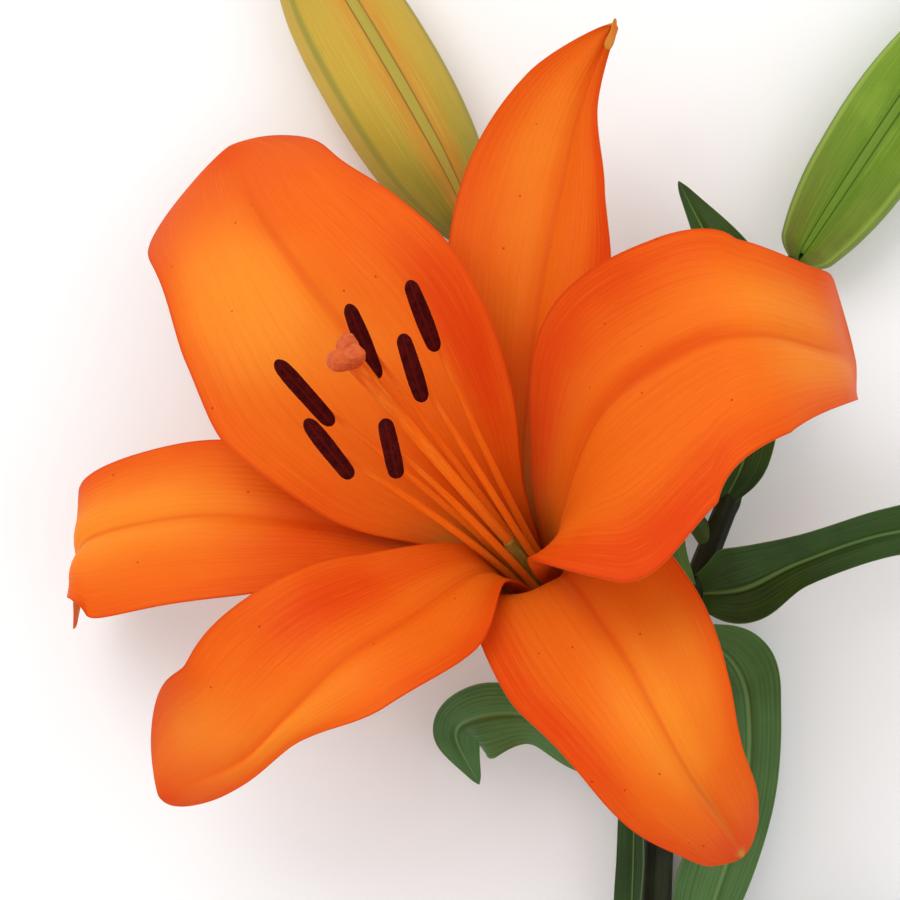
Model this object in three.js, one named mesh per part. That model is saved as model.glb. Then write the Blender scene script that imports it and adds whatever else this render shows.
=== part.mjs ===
// One cut stem of orange lily with an open flower, two closed buds and its leaves, lying on its side.
// Millimetres, +Z up. The stem runs along +Y and its lowest points rest on Z = 0.
import * as THREE from 'three';

// ---- driving dimensions ----
const bloomSpan = 165;        // across the open flower
const petalThickness = 0.9;
const stamenLength = 76;      // from the throat to the middle of the anther
const antherWidth = 4;
const stemLength = 292;       // from the fork of the stalks down to the cut
const stemRadius = 4;         // at the cut end
const budLength = 78;
const budWidth = 25;
const leafLength = 92;        // the longest leaves
const leafWidth = 18;
const leafThickness = 0.9;
const clearance = 0.35;       // left between pieces that touch in the plant

// ---- sizes that follow ----
const bloom = bloomSpan / 165;           // scales everything inside the flower
const leafScale = leafLength / 92;
const forkY = -8;                        // where the stem ends and the right-hand bud stalk goes on
const cutY = forkY - stemLength;
const stalkRadius = stemRadius * 0.48;
const edgeThickness = 0.35;              // of any petal or leaf margin, as a share of its thickness

// ---- colours ----
const colours = {
  petal: { color: 0xf07818, roughness: 0.55 },
  filament: { color: 0xf2892c, roughness: 0.5 },
  anther: { color: 0x3c0a14, roughness: 0.85 },
  stigma: { color: 0xe88a6a, roughness: 0.55 },
  stem: { color: 0x1f2a1c, roughness: 0.45 },
  stalk: { color: 0x3a5a26, roughness: 0.5 },
  leaf: { color: 0x2c5a2c, roughness: 0.4 },
  bract: { color: 0x4f8a3a, roughness: 0.45 },
  budYellow: { color: 0xa8a23c, roughness: 0.5 },
  budGreen: { color: 0x6fa326, roughness: 0.45 },
};

const lily = new THREE.Group();
lily.name = 'lily_stem';

// ---- small helpers ----
const point = (x, y, z) => new THREE.Vector3(x, y, z);
const radians = (degrees) => THREE.MathUtils.degToRad(degrees);
const mix = (a, b, t) => a + (b - a) * t;

function add(parent, name, geometry, look) {
  const mesh = new THREE.Mesh(geometry, new THREE.MeshStandardMaterial({ metalness: 0, ...colours[look] }));
  mesh.name = name;
  parent.add(mesh);
  return mesh;
}

// A smooth run of numbers through evenly spaced stations, t from 0 to 1.
function smooth(stations, t) {
  const last = stations.length - 1;
  const at = (i) => {
    if (i < 0) return 2 * stations[0] - stations[1];
    if (i > last) return 2 * stations[last] - stations[last - 1];
    return stations[i];
  };
  const x = Math.min(Math.max(t, 0), 1) * last;
  const i = Math.min(Math.floor(x), last - 1);
  const f = x - i;
  const [a, b, c, d] = [at(i - 1), at(i), at(i + 1), at(i + 2)];
  return 0.5 * (2 * b + (c - a) * f + (2 * a - 5 * b + 4 * c - d) * f * f + (3 * b - a - 3 * c + d) * f ** 3);
}

function smoothPoint(path, t) {
  const axis = (k) => smooth(path.map((p) => p.getComponent(k)), t);
  return point(axis(0), axis(1), axis(2));
}

function smoothTangent(path, t) {
  const step = 0.001;
  const after = smoothPoint(path, Math.min(t + step, 1));
  return after.sub(smoothPoint(path, Math.max(t - step, 0))).normalize();
}

// A closed solid from rings of points; the ends are closed by joining each ring across.
function loft(rings) {
  const count = rings[0].length;
  const vertices = rings.flat();
  const faces = [];
  const quad = (a, b, c, d) => faces.push([a, b, c], [a, c, d]);
  for (let i = 0; i < rings.length - 1; i += 1) {
    for (let j = 0; j < count; j += 1) {
      const next = (j + 1) % count;
      quad(i * count + j, i * count + next, (i + 1) * count + next, (i + 1) * count + j);
    }
  }
  const end = (rings.length - 1) * count;
  for (let j = 0; j < count / 2 - 1; j += 1) {
    const k = count - 1 - j;
    quad(j, k, k - 1, j + 1);
    quad(end + j, end + j + 1, end + k - 1, end + k);
  }
  return solid(vertices, faces);
}

// Facets with no area are dropped and the solid is turned to face outwards.
function solid(vertices, faces) {
  const triangles = faces.map((face) => face.map((i) => vertices[i]));
  const area = ([a, b, c]) => b.clone().sub(a).cross(c.clone().sub(a)).length();
  const kept = triangles.filter((t) => area(t) > 1e-7);
  const volume = kept.reduce((sum, [a, b, c]) => sum + a.dot(b.clone().cross(c)), 0);
  const facing = volume < 0 ? kept.map(([a, b, c]) => [a, c, b]) : kept;
  const geometry = new THREE.BufferGeometry();
  geometry.setFromPoints(facing.flat());
  geometry.computeVertexNormals();
  return geometry;
}

// A round tapering rod along a path, radii at even stations.
function rod(path, radii, rings, sides) {
  let across = Math.abs(smoothTangent(path, 0).z) < 0.9 ? point(0, 0, 1) : point(1, 0, 0);
  const loops = [];
  for (let i = 0; i <= rings; i += 1) {
    const t = i / rings;
    const along = smoothTangent(path, t);
    across = across.clone().addScaledVector(along, -across.dot(along)).normalize();
    const other = along.clone().cross(across);
    const centre = smoothPoint(path, t);
    const radius = smooth(radii, t);
    const loop = [];
    for (let j = 0; j < sides; j += 1) {
      const angle = (2 * Math.PI * j) / sides;
      const out = across.clone().multiplyScalar(Math.cos(angle)).addScaledVector(other, Math.sin(angle));
      loop.push(centre.clone().addScaledVector(out, radius));
    }
    loops.push(loop);
  }
  return loft(loops);
}

// The front face of a petal or leaf. At each station along the path the cross-section is an arc to each
// side of the midrib: half width and cupping angle are given as [left, right] pairs.
function bladeFront(path, sideAt, halves, cups, rolls, rows, columns) {
  const grid = [];
  for (let i = 0; i <= rows; i += 1) {
    const t = i / rows;
    const centre = smoothPoint(path, t);
    const along = smoothTangent(path, t);
    const side = sideAt(along);
    side.addScaledVector(along, -side.dot(along)).normalize();
    side.applyAxisAngle(along, radians(smooth(rolls, t)));
    const face = along.clone().cross(side);
    const row = [];
    for (let j = 0; j <= columns; j += 1) {
      const v = (2 * j) / columns - 1;
      const k = v < 0 ? 0 : 1;
      const half = Math.max(smooth(halves.map((pair) => pair[k]), t), 0.4);
      const bend = radians(smooth(cups.map((pair) => pair[k]), t)) || 0.001;
      const out = (half * Math.sin(bend * v)) / bend;
      const up = (half * (1 - Math.cos(bend * v))) / bend;
      row.push(centre.clone().addScaledVector(side, out).addScaledVector(face, up));
    }
    grid.push(row);
  }
  return grid;
}

// Thickens a front face backwards, thinner towards the margins.
function sheet(grid, thickness) {
  const rows = grid.length - 1;
  const columns = grid[0].length - 1;
  const rings = grid.map((row, i) => {
    const back = row.map((front, j) => {
      const down = grid[Math.min(i + 1, rows)][j].clone().sub(grid[Math.max(i - 1, 0)][j]);
      const across = grid[i][Math.min(j + 1, columns)].clone().sub(grid[i][Math.max(j - 1, 0)]);
      const face = down.cross(across).normalize();
      const v = (2 * j) / columns - 1;
      return front.clone().addScaledVector(face, -thickness * mix(edgeThickness, 1, 1 - v * v));
    });
    return [...row, ...back.reverse()];
  });
  return loft(rings);
}

// ---- the flower ----
// Its own frame: Z is the axis of the flower, azimuths turn about Z, and X is the way it leans.
const flowerBase = point(18.6, -27.8, 26);
const flowerTilt = 34;        // from upright
const flowerHeading = 126;    // from +X towards +Y
const flower = new THREE.Group();
flower.position.copy(flowerBase);
flower.rotation.order = 'ZYX';
flower.rotation.set(0, radians(flowerTilt), radians(flowerHeading));
lily.add(flower);

const innerRing = 4;          // radius of the ring where the three inner petals start
const outerRing = 5.8;        // and the three outer ones, the sepals

// Each petal is told by its azimuth and, at even stations from base to tip, how far it reaches out, how
// high it rises, how far it sweeps round, its half widths, its cupping and its roll about the midrib.
const petals = {
  petal_upper_left: {
    azimuth: 2, inner: true,
    reach: [0, 9, 19, 35, 52, 73, 95],
    rise: [0, 23, 42, 55, 63, 62, 53],
    sweep: [0, 1, 1, 0, 0, -1, -4],
    half: [[3.2, 3.2], [11, 11], [22, 26], [29, 33], [28, 30], [25, 26], [5, 7]],
    cup: [[46, 46], [45, 35], [38, 28], [25, 20], [12, 10], [0, 0], [-25, -25]],
  },
  petal_right: {
    azimuth: -112, inner: true,
    reach: [0, 13, 29, 47, 63, 74, 74],
    rise: [0, 26, 49, 60, 58, 40, 18],
    sweep: [0, 1, 6, 7, 6, 9, 16],
    half: [[3.2, 3.2], [22, 12], [35, 23], [33, 24], [24, 20], [15, 15], [3, 3]],
    cup: [[46, 46], [15, 40], [5, 35], [5, 25], [5, 15], [-5, -5], [-20, -20]],
  },
  petal_lower_left: {
    azimuth: 108, inner: true,
    reach: [0, 9, 26, 41, 56, 69, 79],
    rise: [0, 26, 38, 44, 41, 33, 20],
    sweep: [0, 2, 3, 1, -3, -10, -19],
    half: [[3.2, 3.2], [7, 13], [18, 15], [26, 12], [33, 9], [31, 6], [14, 2]],
    cup: [[46, 46], [30, 30], [25, 20], [25, 5], [20, -10], [10, -20], [-20, -30]],
  },
  sepal_top: {
    azimuth: -50, inner: false,
    reach: [0, 14, 31, 50, 68, 81, 92],
    rise: [0, 19, 33, 42, 49, 58, 69],
    sweep: [0, 2, 2, 2, 1, -2, -9],
    half: [[3.4, 3.4], [8, 8], [12, 14], [15, 19], [12, 20], [5, 13], [1, 1]],
    cup: [[34, 34], [35, 35], [25, 25], [30, 20], [40, 15], [30, 10], [0, 0]],
  },
  sepal_left: {
    azimuth: 55, inner: false,
    reach: [0, 14, 29, 46, 64, 81, 91, 95],
    rise: [0, 23, 36, 43, 44, 39, 29, 21],
    sweep: [0, 2, 1, 0, -1, 1, 6, 11],
    half: [[3.4, 3.4], [8, 8], [13, 13], [16, 18], [17, 19], [14, 15], [6, 8], [1, 1]],
    cup: [[34, 34], [20, 20], [12, 12], [5, 0], [0, -10], [-5, -10], [-10, -10], [-10, -10]],
  },
  sepal_lower_right: {
    azimuth: -172, inner: false,
    reach: [0, 20, 40, 54, 64, 69, 71],
    rise: [0, 20, 28, 27, 17, 4, -10],
    sweep: [0, 3, 0, -4, -7, -8, -9],
    half: [[3.4, 3.4], [19, 15], [26, 19], [23, 17], [18, 13], [11, 8], [1, 1]],
    cup: [[34, 34], [35, 30], [25, 20], [10, 10], [0, 0], [-5, -5], [-10, -10]],
  },
};

function petal(name, shape) {
  const out = point(1, 0, 0).applyAxisAngle(point(0, 0, 1), radians(shape.azimuth));
  const round = point(0, 1, 0).applyAxisAngle(point(0, 0, 1), radians(shape.azimuth));
  const ring = shape.inner ? innerRing : outerRing;
  const path = shape.reach.map((reach, i) => {
    const distance = i === 0 ? ring : reach * bloom;
    const station = out.clone().multiplyScalar(distance);
    station.addScaledVector(round, shape.sweep[i] * bloom);
    station.z = shape.rise[i] * bloom;
    return station;
  });
  const halves = shape.half.map((pair, i) => pair.map((half) => (i === 0 ? half : half * bloom)));
  const grid = bladeFront(path, () => round.clone(), halves, shape.cup, [0, 0], 12, 6);
  add(flower, name, sheet(grid, petalThickness), 'petal');
}

for (const [name, shape] of Object.entries(petals)) {
  petal(name, shape);
}

// The receptacle is the small swelling that the petals, stamens and ovary stand on.
const receptacleHeight = 7;
const receptacleTop = -1.5 * clearance;
add(flower, 'receptacle', rod(
  [point(0, 0, receptacleTop - receptacleHeight), point(0, 0, receptacleTop - 3), point(0, 0, receptacleTop)],
  [2.6, 5.2, 6.6], 4, 12,
), 'stalk');

// ---- stamens: azimuth of the foot, then azimuth and lean of the anther's middle from the throat ----
const stamens = [
  { foot: 40, azimuth: 33, lean: 21, turn: 8, anther: 17 },
  { foot: 100, azimuth: 68, lean: 14, turn: 3, anther: 14.5 },
  { foot: -20, azimuth: 0, lean: 18, turn: -21, anther: 16 },
  { foot: -80, azimuth: -31, lean: 18, turn: -22, anther: 15 },
  { foot: -140, azimuth: -26, lean: 8, turn: -28, anther: 14 },
  { foot: 160, azimuth: 110, lean: 6, turn: -36, anther: 12 },
];
const antherPitch = 50;       // of each anther above the flower's own level
const stamenRing = 3.1;
const filamentRadius = 0.75;

function stamen(shape, number) {
  const lean = radians(shape.lean);
  const azimuth = radians(shape.azimuth);
  const reach = stamenLength * bloom;
  const across = Math.sin(lean) * reach;
  const middle = point(across * Math.cos(azimuth), across * Math.sin(azimuth), reach * Math.cos(lean));

  const turn = radians(shape.turn);
  const pitch = radians(antherPitch);
  const along = point(Math.cos(pitch) * Math.cos(turn), Math.cos(pitch) * Math.sin(turn), Math.sin(pitch));
  const halfAnther = (shape.anther / 2) * bloom;
  const width = antherWidth / 2;
  const anther = rod(
    [-1, -0.5, 0, 0.5, 1].map((s) => middle.clone().addScaledVector(along, s * halfAnther)),
    [width * 0.45, width * 0.95, width, width * 0.95, width * 0.4], 6, 8,
  );
  add(flower, `anther_${number}`, anther, 'anther');

  // The filament stands straight at its foot, leans out further up and ends against the anther's back.
  const footAngle = radians(shape.foot);
  const foot = point(stamenRing * Math.cos(footAngle), stamenRing * Math.sin(footAngle), 0);
  const back = point(0, 0, -1).addScaledVector(along, along.z).normalize();
  const top = middle.clone().addScaledVector(back, width + clearance + filamentRadius * 0.6);
  const filament = rod(
    [0, 0.25, 0.5, 0.75, 1].map((s) => {
      const outward = s ** 1.5;
      return point(mix(foot.x, top.x, outward), mix(foot.y, top.y, outward), top.z * s);
    }),
    [filamentRadius, filamentRadius, filamentRadius, filamentRadius * 0.85, filamentRadius * 0.5], 7, 6,
  );
  add(flower, `filament_${number}`, filament, 'filament');
}

stamens.forEach((shape, i) => stamen(shape, i + 1));

// ---- pistil: ovary, style and the three-lobed stigma ----
const ovaryHeight = 20 * bloom;
const ovaryRadius = 1.9;
const styleRadius = 0.95;
const stigmaCentre = point(15.4, 3.7, 82.8).multiplyScalar(bloom);
const stigmaRadius = 3.4;

add(flower, 'ovary', rod(
  [0, 0.35, 0.7, 1].map((s) => point(0.6 * s, 0, ovaryHeight * s)),
  [ovaryRadius * 0.8, ovaryRadius, ovaryRadius, styleRadius], 5, 10,
), 'bract');

const styleFoot = point(0.7, 0, ovaryHeight + clearance);
const styleTop = stigmaCentre.clone().addScaledVector(stigmaCentre.clone().sub(styleFoot).normalize(), -3.2);
const styleBow = -1.6;
add(flower, 'style', rod(
  [0, 0.33, 0.67, 1].map((s) => {
    const bow = point(styleBow * Math.sin(Math.PI * s), 0, 0);
    return styleFoot.clone().lerp(styleTop, s).add(bow);
  }),
  [styleRadius, styleRadius, styleRadius, styleRadius * 1.4], 8, 8,
), 'filament');

function stigma() {
  const along = stigmaCentre.clone().sub(styleFoot).normalize();
  const across = point(0, 1, 0).addScaledVector(along, -along.y).normalize();
  const other = along.clone().cross(across);
  const sides = 18;
  const loops = [-2.7, -1.6, -0.2, 1, 1.7].map((height, i) => {
    const reach = [0.45, 0.72, 1, 0.95, 0.55][i] * stigmaRadius;
    const loop = [];
    for (let j = 0; j < sides; j += 1) {
      const angle = (2 * Math.PI * j) / sides;
      const lobed = reach * (1 + 0.22 * Math.cos(3 * angle));
      loop.push(stigmaCentre.clone()
        .addScaledVector(along, height)
        .addScaledVector(across, lobed * Math.cos(angle))
        .addScaledVector(other, lobed * Math.sin(angle)));
    }
    return loop;
  });
  return loft(loops);
}
add(flower, 'stigma', stigma(), 'stigma');

// ---- stem and stalks ----
// Stations from the cut end to the fork: y, x, z and radius.
const stemStations = [
  [cutY, 43, stemRadius, 1],
  [mix(cutY, -100, 0.33), 42, stemRadius, 0.98],
  [mix(cutY, -100, 0.67), 42.5, stemRadius, 0.92],
  [-100, 43.6, stemRadius * 1.05, 0.84],
  [-68, 45.6, stemRadius * 1.3, 0.78],
  [-36, 50, stemRadius * 1.6, 0.7],
  [forkY, 60, stemRadius * 1.85, 0.58],
];
const stemPath = stemStations.map(([y, x, z]) => point(x, y, z));
const stemRadii = stemStations.map(([, , , share]) => share * stemRadius);
add(lily, 'stem', rod(stemPath, stemRadii, 18, 10), 'stem');

// The middle of the stem at a given y, and its radius there.
function stemAt(y) {
  let low = 0;
  let high = 1;
  for (let i = 0; i < 40; i += 1) {
    const half = (low + high) / 2;
    if (smoothPoint(stemPath, half).y < y) low = half;
    else high = half;
  }
  return { centre: smoothPoint(stemPath, low), radius: smooth(stemRadii, low) };
}

const budRadius = budWidth / 2;
const rightBudRadius = budRadius * 0.85;
const budDroop = 1.2;         // degrees that a bud's tip points below level
const leftBud = { base: point(5.5, 44, budRadius), heading: 121, turn: 132, radius: budRadius };
const rightBud = { base: point(76, 38, rightBudRadius), heading: 59, turn: 112, radius: rightBudRadius };

const headingOf = (degrees) => point(Math.cos(radians(degrees)), Math.sin(radians(degrees)), 0);

// The right-hand stalk carries straight on from the stem.
const fork = smoothPoint(stemPath, 1);
const forkWay = smoothTangent(stemPath, 1);
const rightStalkEnd = rightBud.base.clone().addScaledVector(headingOf(rightBud.heading), -clearance);
add(lily, 'right_bud_stalk', rod(
  [
    fork.clone().addScaledVector(forkWay, clearance),
    fork.clone().addScaledVector(forkWay, 16),
    rightStalkEnd.clone().addScaledVector(headingOf(rightBud.heading), -14),
    rightStalkEnd,
  ],
  [stemRadius * 0.58, stalkRadius, stalkRadius, stalkRadius * 1.1], 8, 8,
), 'stalk');

// The left-hand bud stalk leaves the stem just below the fork and passes under the flower.
const leftFrom = stemAt(-20);
const leftWay = point(-0.75, 0.65, 0.1).normalize();
const leftStalkEnd = leftBud.base.clone().addScaledVector(headingOf(leftBud.heading), -clearance);
add(lily, 'left_bud_stalk', rod(
  [
    leftFrom.centre.clone().addScaledVector(leftWay, leftFrom.radius + stalkRadius * 0.6 + clearance),
    point(37, 6, 8.5),
    point(18, 26, 10),
    leftStalkEnd.clone().addScaledVector(headingOf(leftBud.heading), -8),
    leftStalkEnd,
  ],
  [stalkRadius, stalkRadius, stalkRadius, stalkRadius, stalkRadius * 1.1], 10, 8,
), 'stalk');

// The flower's own stalk rises from the stem and bends up into the receptacle.
const flowerWay = point(0, 0, 1).applyEuler(flower.rotation);
const flowerStalkEnd = flowerBase.clone()
  .addScaledVector(flowerWay, receptacleTop - receptacleHeight - clearance);
const flowerFrom = stemAt(-62);
const flowerStalkWay = point(-0.82, 0.5, 0.28).normalize();
const flowerStalkGap = flowerFrom.radius + stalkRadius * 0.8 + clearance;
add(lily, 'flower_stalk', rod(
  [
    flowerFrom.centre.clone().addScaledVector(flowerStalkWay, flowerStalkGap),
    point(35, -50, 8.5),
    point(27, -41.5, 11.5),
    flowerStalkEnd.clone().addScaledVector(flowerWay, -4).add(point(0.4, -0.6, 0)),
    flowerStalkEnd,
  ],
  [stalkRadius * 1.1, stalkRadius, stalkRadius, stalkRadius * 1.1, stalkRadius * 1.2], 10, 8,
), 'stalk');

// ---- buds: three outer segments closed round a core whose three ridges show between them ----
// turn is the angle of the first segment's middle round the bud.
const budProfile = [0.26, 0.62, 0.88, 0.98, 1, 0.96, 0.85, 0.66, 0.4, 0.13];
const segmentHalfAngle = 51;  // each outer segment reaches this far round from its middle
const ridgeHalfAngle = 4;

function budGroup(bud) {
  const group = new THREE.Group();
  group.position.copy(bud.base);
  group.rotation.order = 'ZYX';
  group.rotation.set(0, radians(90 + budDroop), radians(bud.heading));
  lily.add(group);
  return group;
}

function bud(name, shape, look) {
  const group = budGroup(shape);
  const skin = (t) => smooth(budProfile, t) * shape.radius;
  const wall = (t) => Math.min(0.9, skin(t) * 0.4);
  const rings = 10;

  for (let k = 0; k < 3; k += 1) {
    const middle = shape.turn + 120 * k;
    const columns = 4;
    const loops = [];
    for (let i = 0; i <= rings; i += 1) {
      const t = i / rings;
      const outer = [];
      const inner = [];
      for (let j = 0; j <= columns; j += 1) {
        const share = (2 * j) / columns - 1;
        const angle = radians(middle + share * segmentHalfAngle);
        const keel = 1 + 0.035 * (1 - share * share);
        const radius = skin(t) * keel;
        const back = skin(t) - wall(t) * mix(0.6, 1, 1 - share * share);
        outer.push(point(radius * Math.cos(angle), radius * Math.sin(angle), t * budLength));
        inner.push(point(back * Math.cos(angle), back * Math.sin(angle), t * budLength));
      }
      loops.push([...outer, ...inner.reverse()]);
    }
    add(group, `${name}_segment_${k + 1}`, loft(loops), look);
  }

  const coreLoops = [];
  for (let i = 1; i < rings; i += 1) {
    const t = i / rings;
    const within = Math.max(skin(t) - wall(t) - clearance, 0.3);
    const proud = Math.max(skin(t) - 0.3, within);
    const loop = [];
    for (let k = 0; k < 3; k += 1) {
      const middle = shape.turn + 120 * k;
      const between = middle + 60;
      loop.push([within, middle - 52], [within, middle - 24], [within, middle + 24], [within, middle + 52]);
      loop.push([proud, between - ridgeHalfAngle], [proud, between + ridgeHalfAngle]);
    }
    coreLoops.push(loop.map(([radius, degrees]) => {
      const angle = radians(degrees);
      return point(radius * Math.cos(angle), radius * Math.sin(angle), t * budLength);
    }));
  }
  add(group, `${name}_core`, loft(coreLoops), look);
}

bud('left_bud', leftBud, 'budYellow');
bud('right_bud', rightBud, 'budGreen');

// ---- leaves ----
// Each leaf starts beside the stem at its y and follows steps measured from there; widths are shares of
// the full leaf width; fold is how far the halves rise either side of the midrib.
const leaves = [
  {
    name: 'leaf_right', y: -30, look: 'leaf',
    steps: [[2, 1, 4], [9, 3, 10], [20, 7, 15], [38, 11, 16], [57, 12, 14], [73, 9, 7]],
    width: [0.25, 0.75, 0.95, 0.9, 0.7, 0.1],
    fold: [40, 40, 35, 30, 25, 20],
    roll: [-10, 0, 10, 10, 0, 0],
  },
  {
    name: 'leaf_drooping', y: -38, look: 'leaf',
    steps: [[4, -1, 0], [9, -7, 2], [12, -17, 4], [11, -36, 4], [5, -57, 1], [-2, -78, -2]],
    width: [0.25, 0.7, 0.9, 0.85, 0.7, 0.1],
    fold: [15, 15, 12, 12, 10, 10],
    roll: [0, 0, 0, 0, 0, 0],
  },
  {
    name: 'leaf_rising', y: -116, look: 'leaf',
    steps: [[-4, 1, 3], [-4.5, 14, 6.5], [-4.5, 30, 8.5], [-4, 46, 10.5], [-2, 60, 12]],
    width: [0.22, 0.42, 0.48, 0.38, 0.08],
    fold: [30, 30, 30, 25, 20],
    roll: [-20, -45, -45, -45, -45],
  },
  {
    name: 'leaf_curled', y: -74, look: 'leaf',
    steps: [[-4, 2, 3], [-16, 12, 9], [-27, 17, 15], [-38, 17, 16], [-42, 10, 9], [-37, 2, 2]],
    width: [0.25, 0.65, 0.95, 1, 0.7, 0.08],
    fold: [15, 15, 10, 5, 5, 5],
    roll: [0, 0, 0, 0, 0, 0],
  },
  {
    name: 'leaf_behind', y: -31, look: 'bract',
    steps: [[-3, 1, 4], [-6, 10, 7], [-8, 24, 8], [-8, 37, 8]],
    width: [0.25, 0.5, 0.5, 0.08],
    fold: [30, 30, 25, 20],
    roll: [0, 0, 0, 0],
  },
  {
    name: 'leaf_bract', y: -11, look: 'leaf',
    steps: [[-2, 1, 4], [3, 10, 8], [4, 27, 10], [-1, 46, 11], [-11, 67, 9]],
    width: [0.22, 0.6, 0.72, 0.5, 0.06],
    fold: [30, 30, 25, 25, 20],
    roll: [0, 0, 0, 0, 0],
  },
];

function leaf(shape) {
  const from = stemAt(shape.y);
  const steps = shape.steps.map(([x, y, z]) => point(x, y, z).multiplyScalar(leafScale));
  const away = steps[0].clone().normalize();
  const rootRoom = 0.35 * shape.width[0] * leafWidth;
  const gap = from.radius + clearance + leafThickness + rootRoom;
  const root = from.centre.clone().addScaledVector(away, gap).sub(steps[0]);
  const path = steps.map((step) => step.clone().add(root));
  const halves = shape.width.map((share) => [share * leafWidth / 2, share * leafWidth / 2]);
  const sideAt = (along) => point(0, 0, 1).cross(along);
  const folds = shape.fold.map((angle) => [angle, angle]);
  const grid = bladeFront(path, sideAt, halves, folds, shape.roll, 8, 4);
  add(lily, shape.name, sheet(grid, leafThickness), shape.look);
}

leaves.forEach(leaf);

// Lower down, the leaves come off to either side by turns and droop until their tips touch the ground.
// ahead is how far a tip goes towards the flower, as a share of its reach.
const lowLeaves = [
  { size: 1, ahead: 0.1, arch: 12 },
  { size: 1.04, ahead: -0.12, arch: 14 },
  { size: 0.9, ahead: 0.28, arch: 10 },
  { size: 0.96, ahead: 0.06, arch: 13 },
  { size: 0.84, ahead: -0.1, arch: 9 },
  { size: 0.76, ahead: 0.2, arch: 8 },
];
const firstLowLeafY = -128;
const lowLeafSpacing = 20;
const lowLeafReach = [4, 17, 35, 54, 72];
const lowLeafSweep = [0, 6, 9, 8, -1];

lowLeaves.forEach(({ size, ahead, arch }, i) => {
  const side = i % 2 === 0 ? 1 : -1;
  const tipDrop = (leafThickness * 1.3 - stemRadius) / leafScale;
  const heights = [1.5, arch * 0.75, arch, arch * 0.65].map((z) => z * size).concat(tipDrop);
  leaf({
    name: `leaf_low_${i + 1}`,
    y: firstLowLeafY - lowLeafSpacing * i,
    steps: lowLeafReach.map((x, k) => [side * x * size, (ahead * x + lowLeafSweep[k]) * size, heights[k]]),
    width: [0.25, 0.8, 1, 0.75, 0.08].map((share) => share * size),
    fold: [30, 28, 22, 16, 8],
    roll: [0, 0, 0, 0, 0],
    look: 'leaf',
  });
});

// ---- put the origin under the middle of the whole, on the ground ----
lily.updateMatrixWorld(true);
const box = new THREE.Box3().setFromObject(lily, true);
lily.position.set(-(box.min.x + box.max.x) / 2, -(box.min.y + box.max.y) / 2, -box.min.z);

export default lily;
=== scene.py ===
import math

import bpy
import numpy as np
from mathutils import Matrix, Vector


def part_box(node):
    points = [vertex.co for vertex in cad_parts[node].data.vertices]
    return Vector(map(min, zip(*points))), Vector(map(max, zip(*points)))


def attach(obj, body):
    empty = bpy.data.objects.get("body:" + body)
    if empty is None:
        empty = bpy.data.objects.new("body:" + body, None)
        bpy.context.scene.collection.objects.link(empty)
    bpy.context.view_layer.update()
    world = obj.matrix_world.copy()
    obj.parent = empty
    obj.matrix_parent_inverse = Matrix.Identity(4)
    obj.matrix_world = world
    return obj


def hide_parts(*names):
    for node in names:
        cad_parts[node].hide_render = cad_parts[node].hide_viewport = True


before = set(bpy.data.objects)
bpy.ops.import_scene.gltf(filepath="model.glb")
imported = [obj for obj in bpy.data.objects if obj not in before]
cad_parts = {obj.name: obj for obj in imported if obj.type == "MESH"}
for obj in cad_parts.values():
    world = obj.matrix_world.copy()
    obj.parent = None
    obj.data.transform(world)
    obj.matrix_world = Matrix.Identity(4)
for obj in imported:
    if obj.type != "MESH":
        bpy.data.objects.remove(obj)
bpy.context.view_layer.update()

print("frame loaded,", len(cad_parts), "nodes")

# Lengths below are in millimetres, in the frame that the plant was drawn in: the stem runs along +Y and
# the ground is at z = 0. One shift, found from the anthers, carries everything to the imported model.
metre = 0.001
upward = np.array([0.0, 0.0, 1.0])
sideways = np.array([1.0, 0.0, 0.0])
random = np.random.default_rng(11)        # the same pollen grains each time


def turned(azimuth):
    return np.array([math.cos(math.radians(azimuth)), math.sin(math.radians(azimuth)), 0.0])


def unit(v):
    return v / np.maximum(np.linalg.norm(v, axis=-1, keepdims=True), 1e-12)


# Three directions of a thing that leans towards a heading, tilted from upright: first the one that runs out
# and down, then the level one across it, last its axis.
def leaningWays(heading, tilt):
    lean = turned(heading)
    tilt = math.radians(tilt)
    first = lean * math.cos(tilt) - upward * math.sin(tilt)
    axis = lean * math.sin(tilt) + upward * math.cos(tilt)
    return np.stack([first, np.cross(axis, first), axis])


# 0 below the first limit, 1 above the second, an S-shaped rise between them.
def rise(low, high, x):
    s = np.clip((x - low) / (high - low), 0, 1)
    return s * s * (3 - 2 * s)


# 1 at the middle, falling off on both sides as a bell of the given width.
def bell(x, middle, width):
    return np.exp(-((x - middle) / width) ** 2)


# A smooth run through evenly spaced stations: a cubic between each two, whose slope at a station is half
# the step from the station before to the one after; beyond the ends the run goes on in a straight line.
def smoothRun(stations, t):
    values = np.asarray(stations, float)
    last = len(values) - 1
    padded = np.concatenate([[2 * values[0] - values[1]], values, [2 * values[-1] - values[-2]]])
    x = np.clip(t, 0, 1) * last
    i = np.minimum(x.astype(int), last - 1)
    f = x - i
    if values.ndim > 1:
        f = f[:, None]
    a, b, c, d = padded[i], padded[i + 1], padded[i + 2], padded[i + 3]
    return 0.5 * (2 * b + (c - a) * f + (2 * a - 5 * b + 4 * c - d) * f**2 + (3 * b - a - 3 * c + d) * f**3)


# Values for the two sides of a midrib: each is one number for both, or two.
def pairs(values):
    return np.array([np.broadcast_to(value, 2) for value in values], float)


# The middle line of a path and its direction, at each t.
def alongPath(path, t):
    step = 0.001
    ahead = smoothRun(path, np.minimum(t + step, 1)) - smoothRun(path, np.maximum(t - step, 0))
    return smoothRun(path, t), unit(ahead)


flowerFrame = {
    "base": np.array([18.6, -27.8, 26.0]),
    "tilt": 34,          # degrees from upright
    "heading": 126,      # degrees from +X towards +Y
}
flowerWays = leaningWays(flowerFrame["heading"], flowerFrame["tilt"])
upInFlower = flowerWays @ upward


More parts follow.
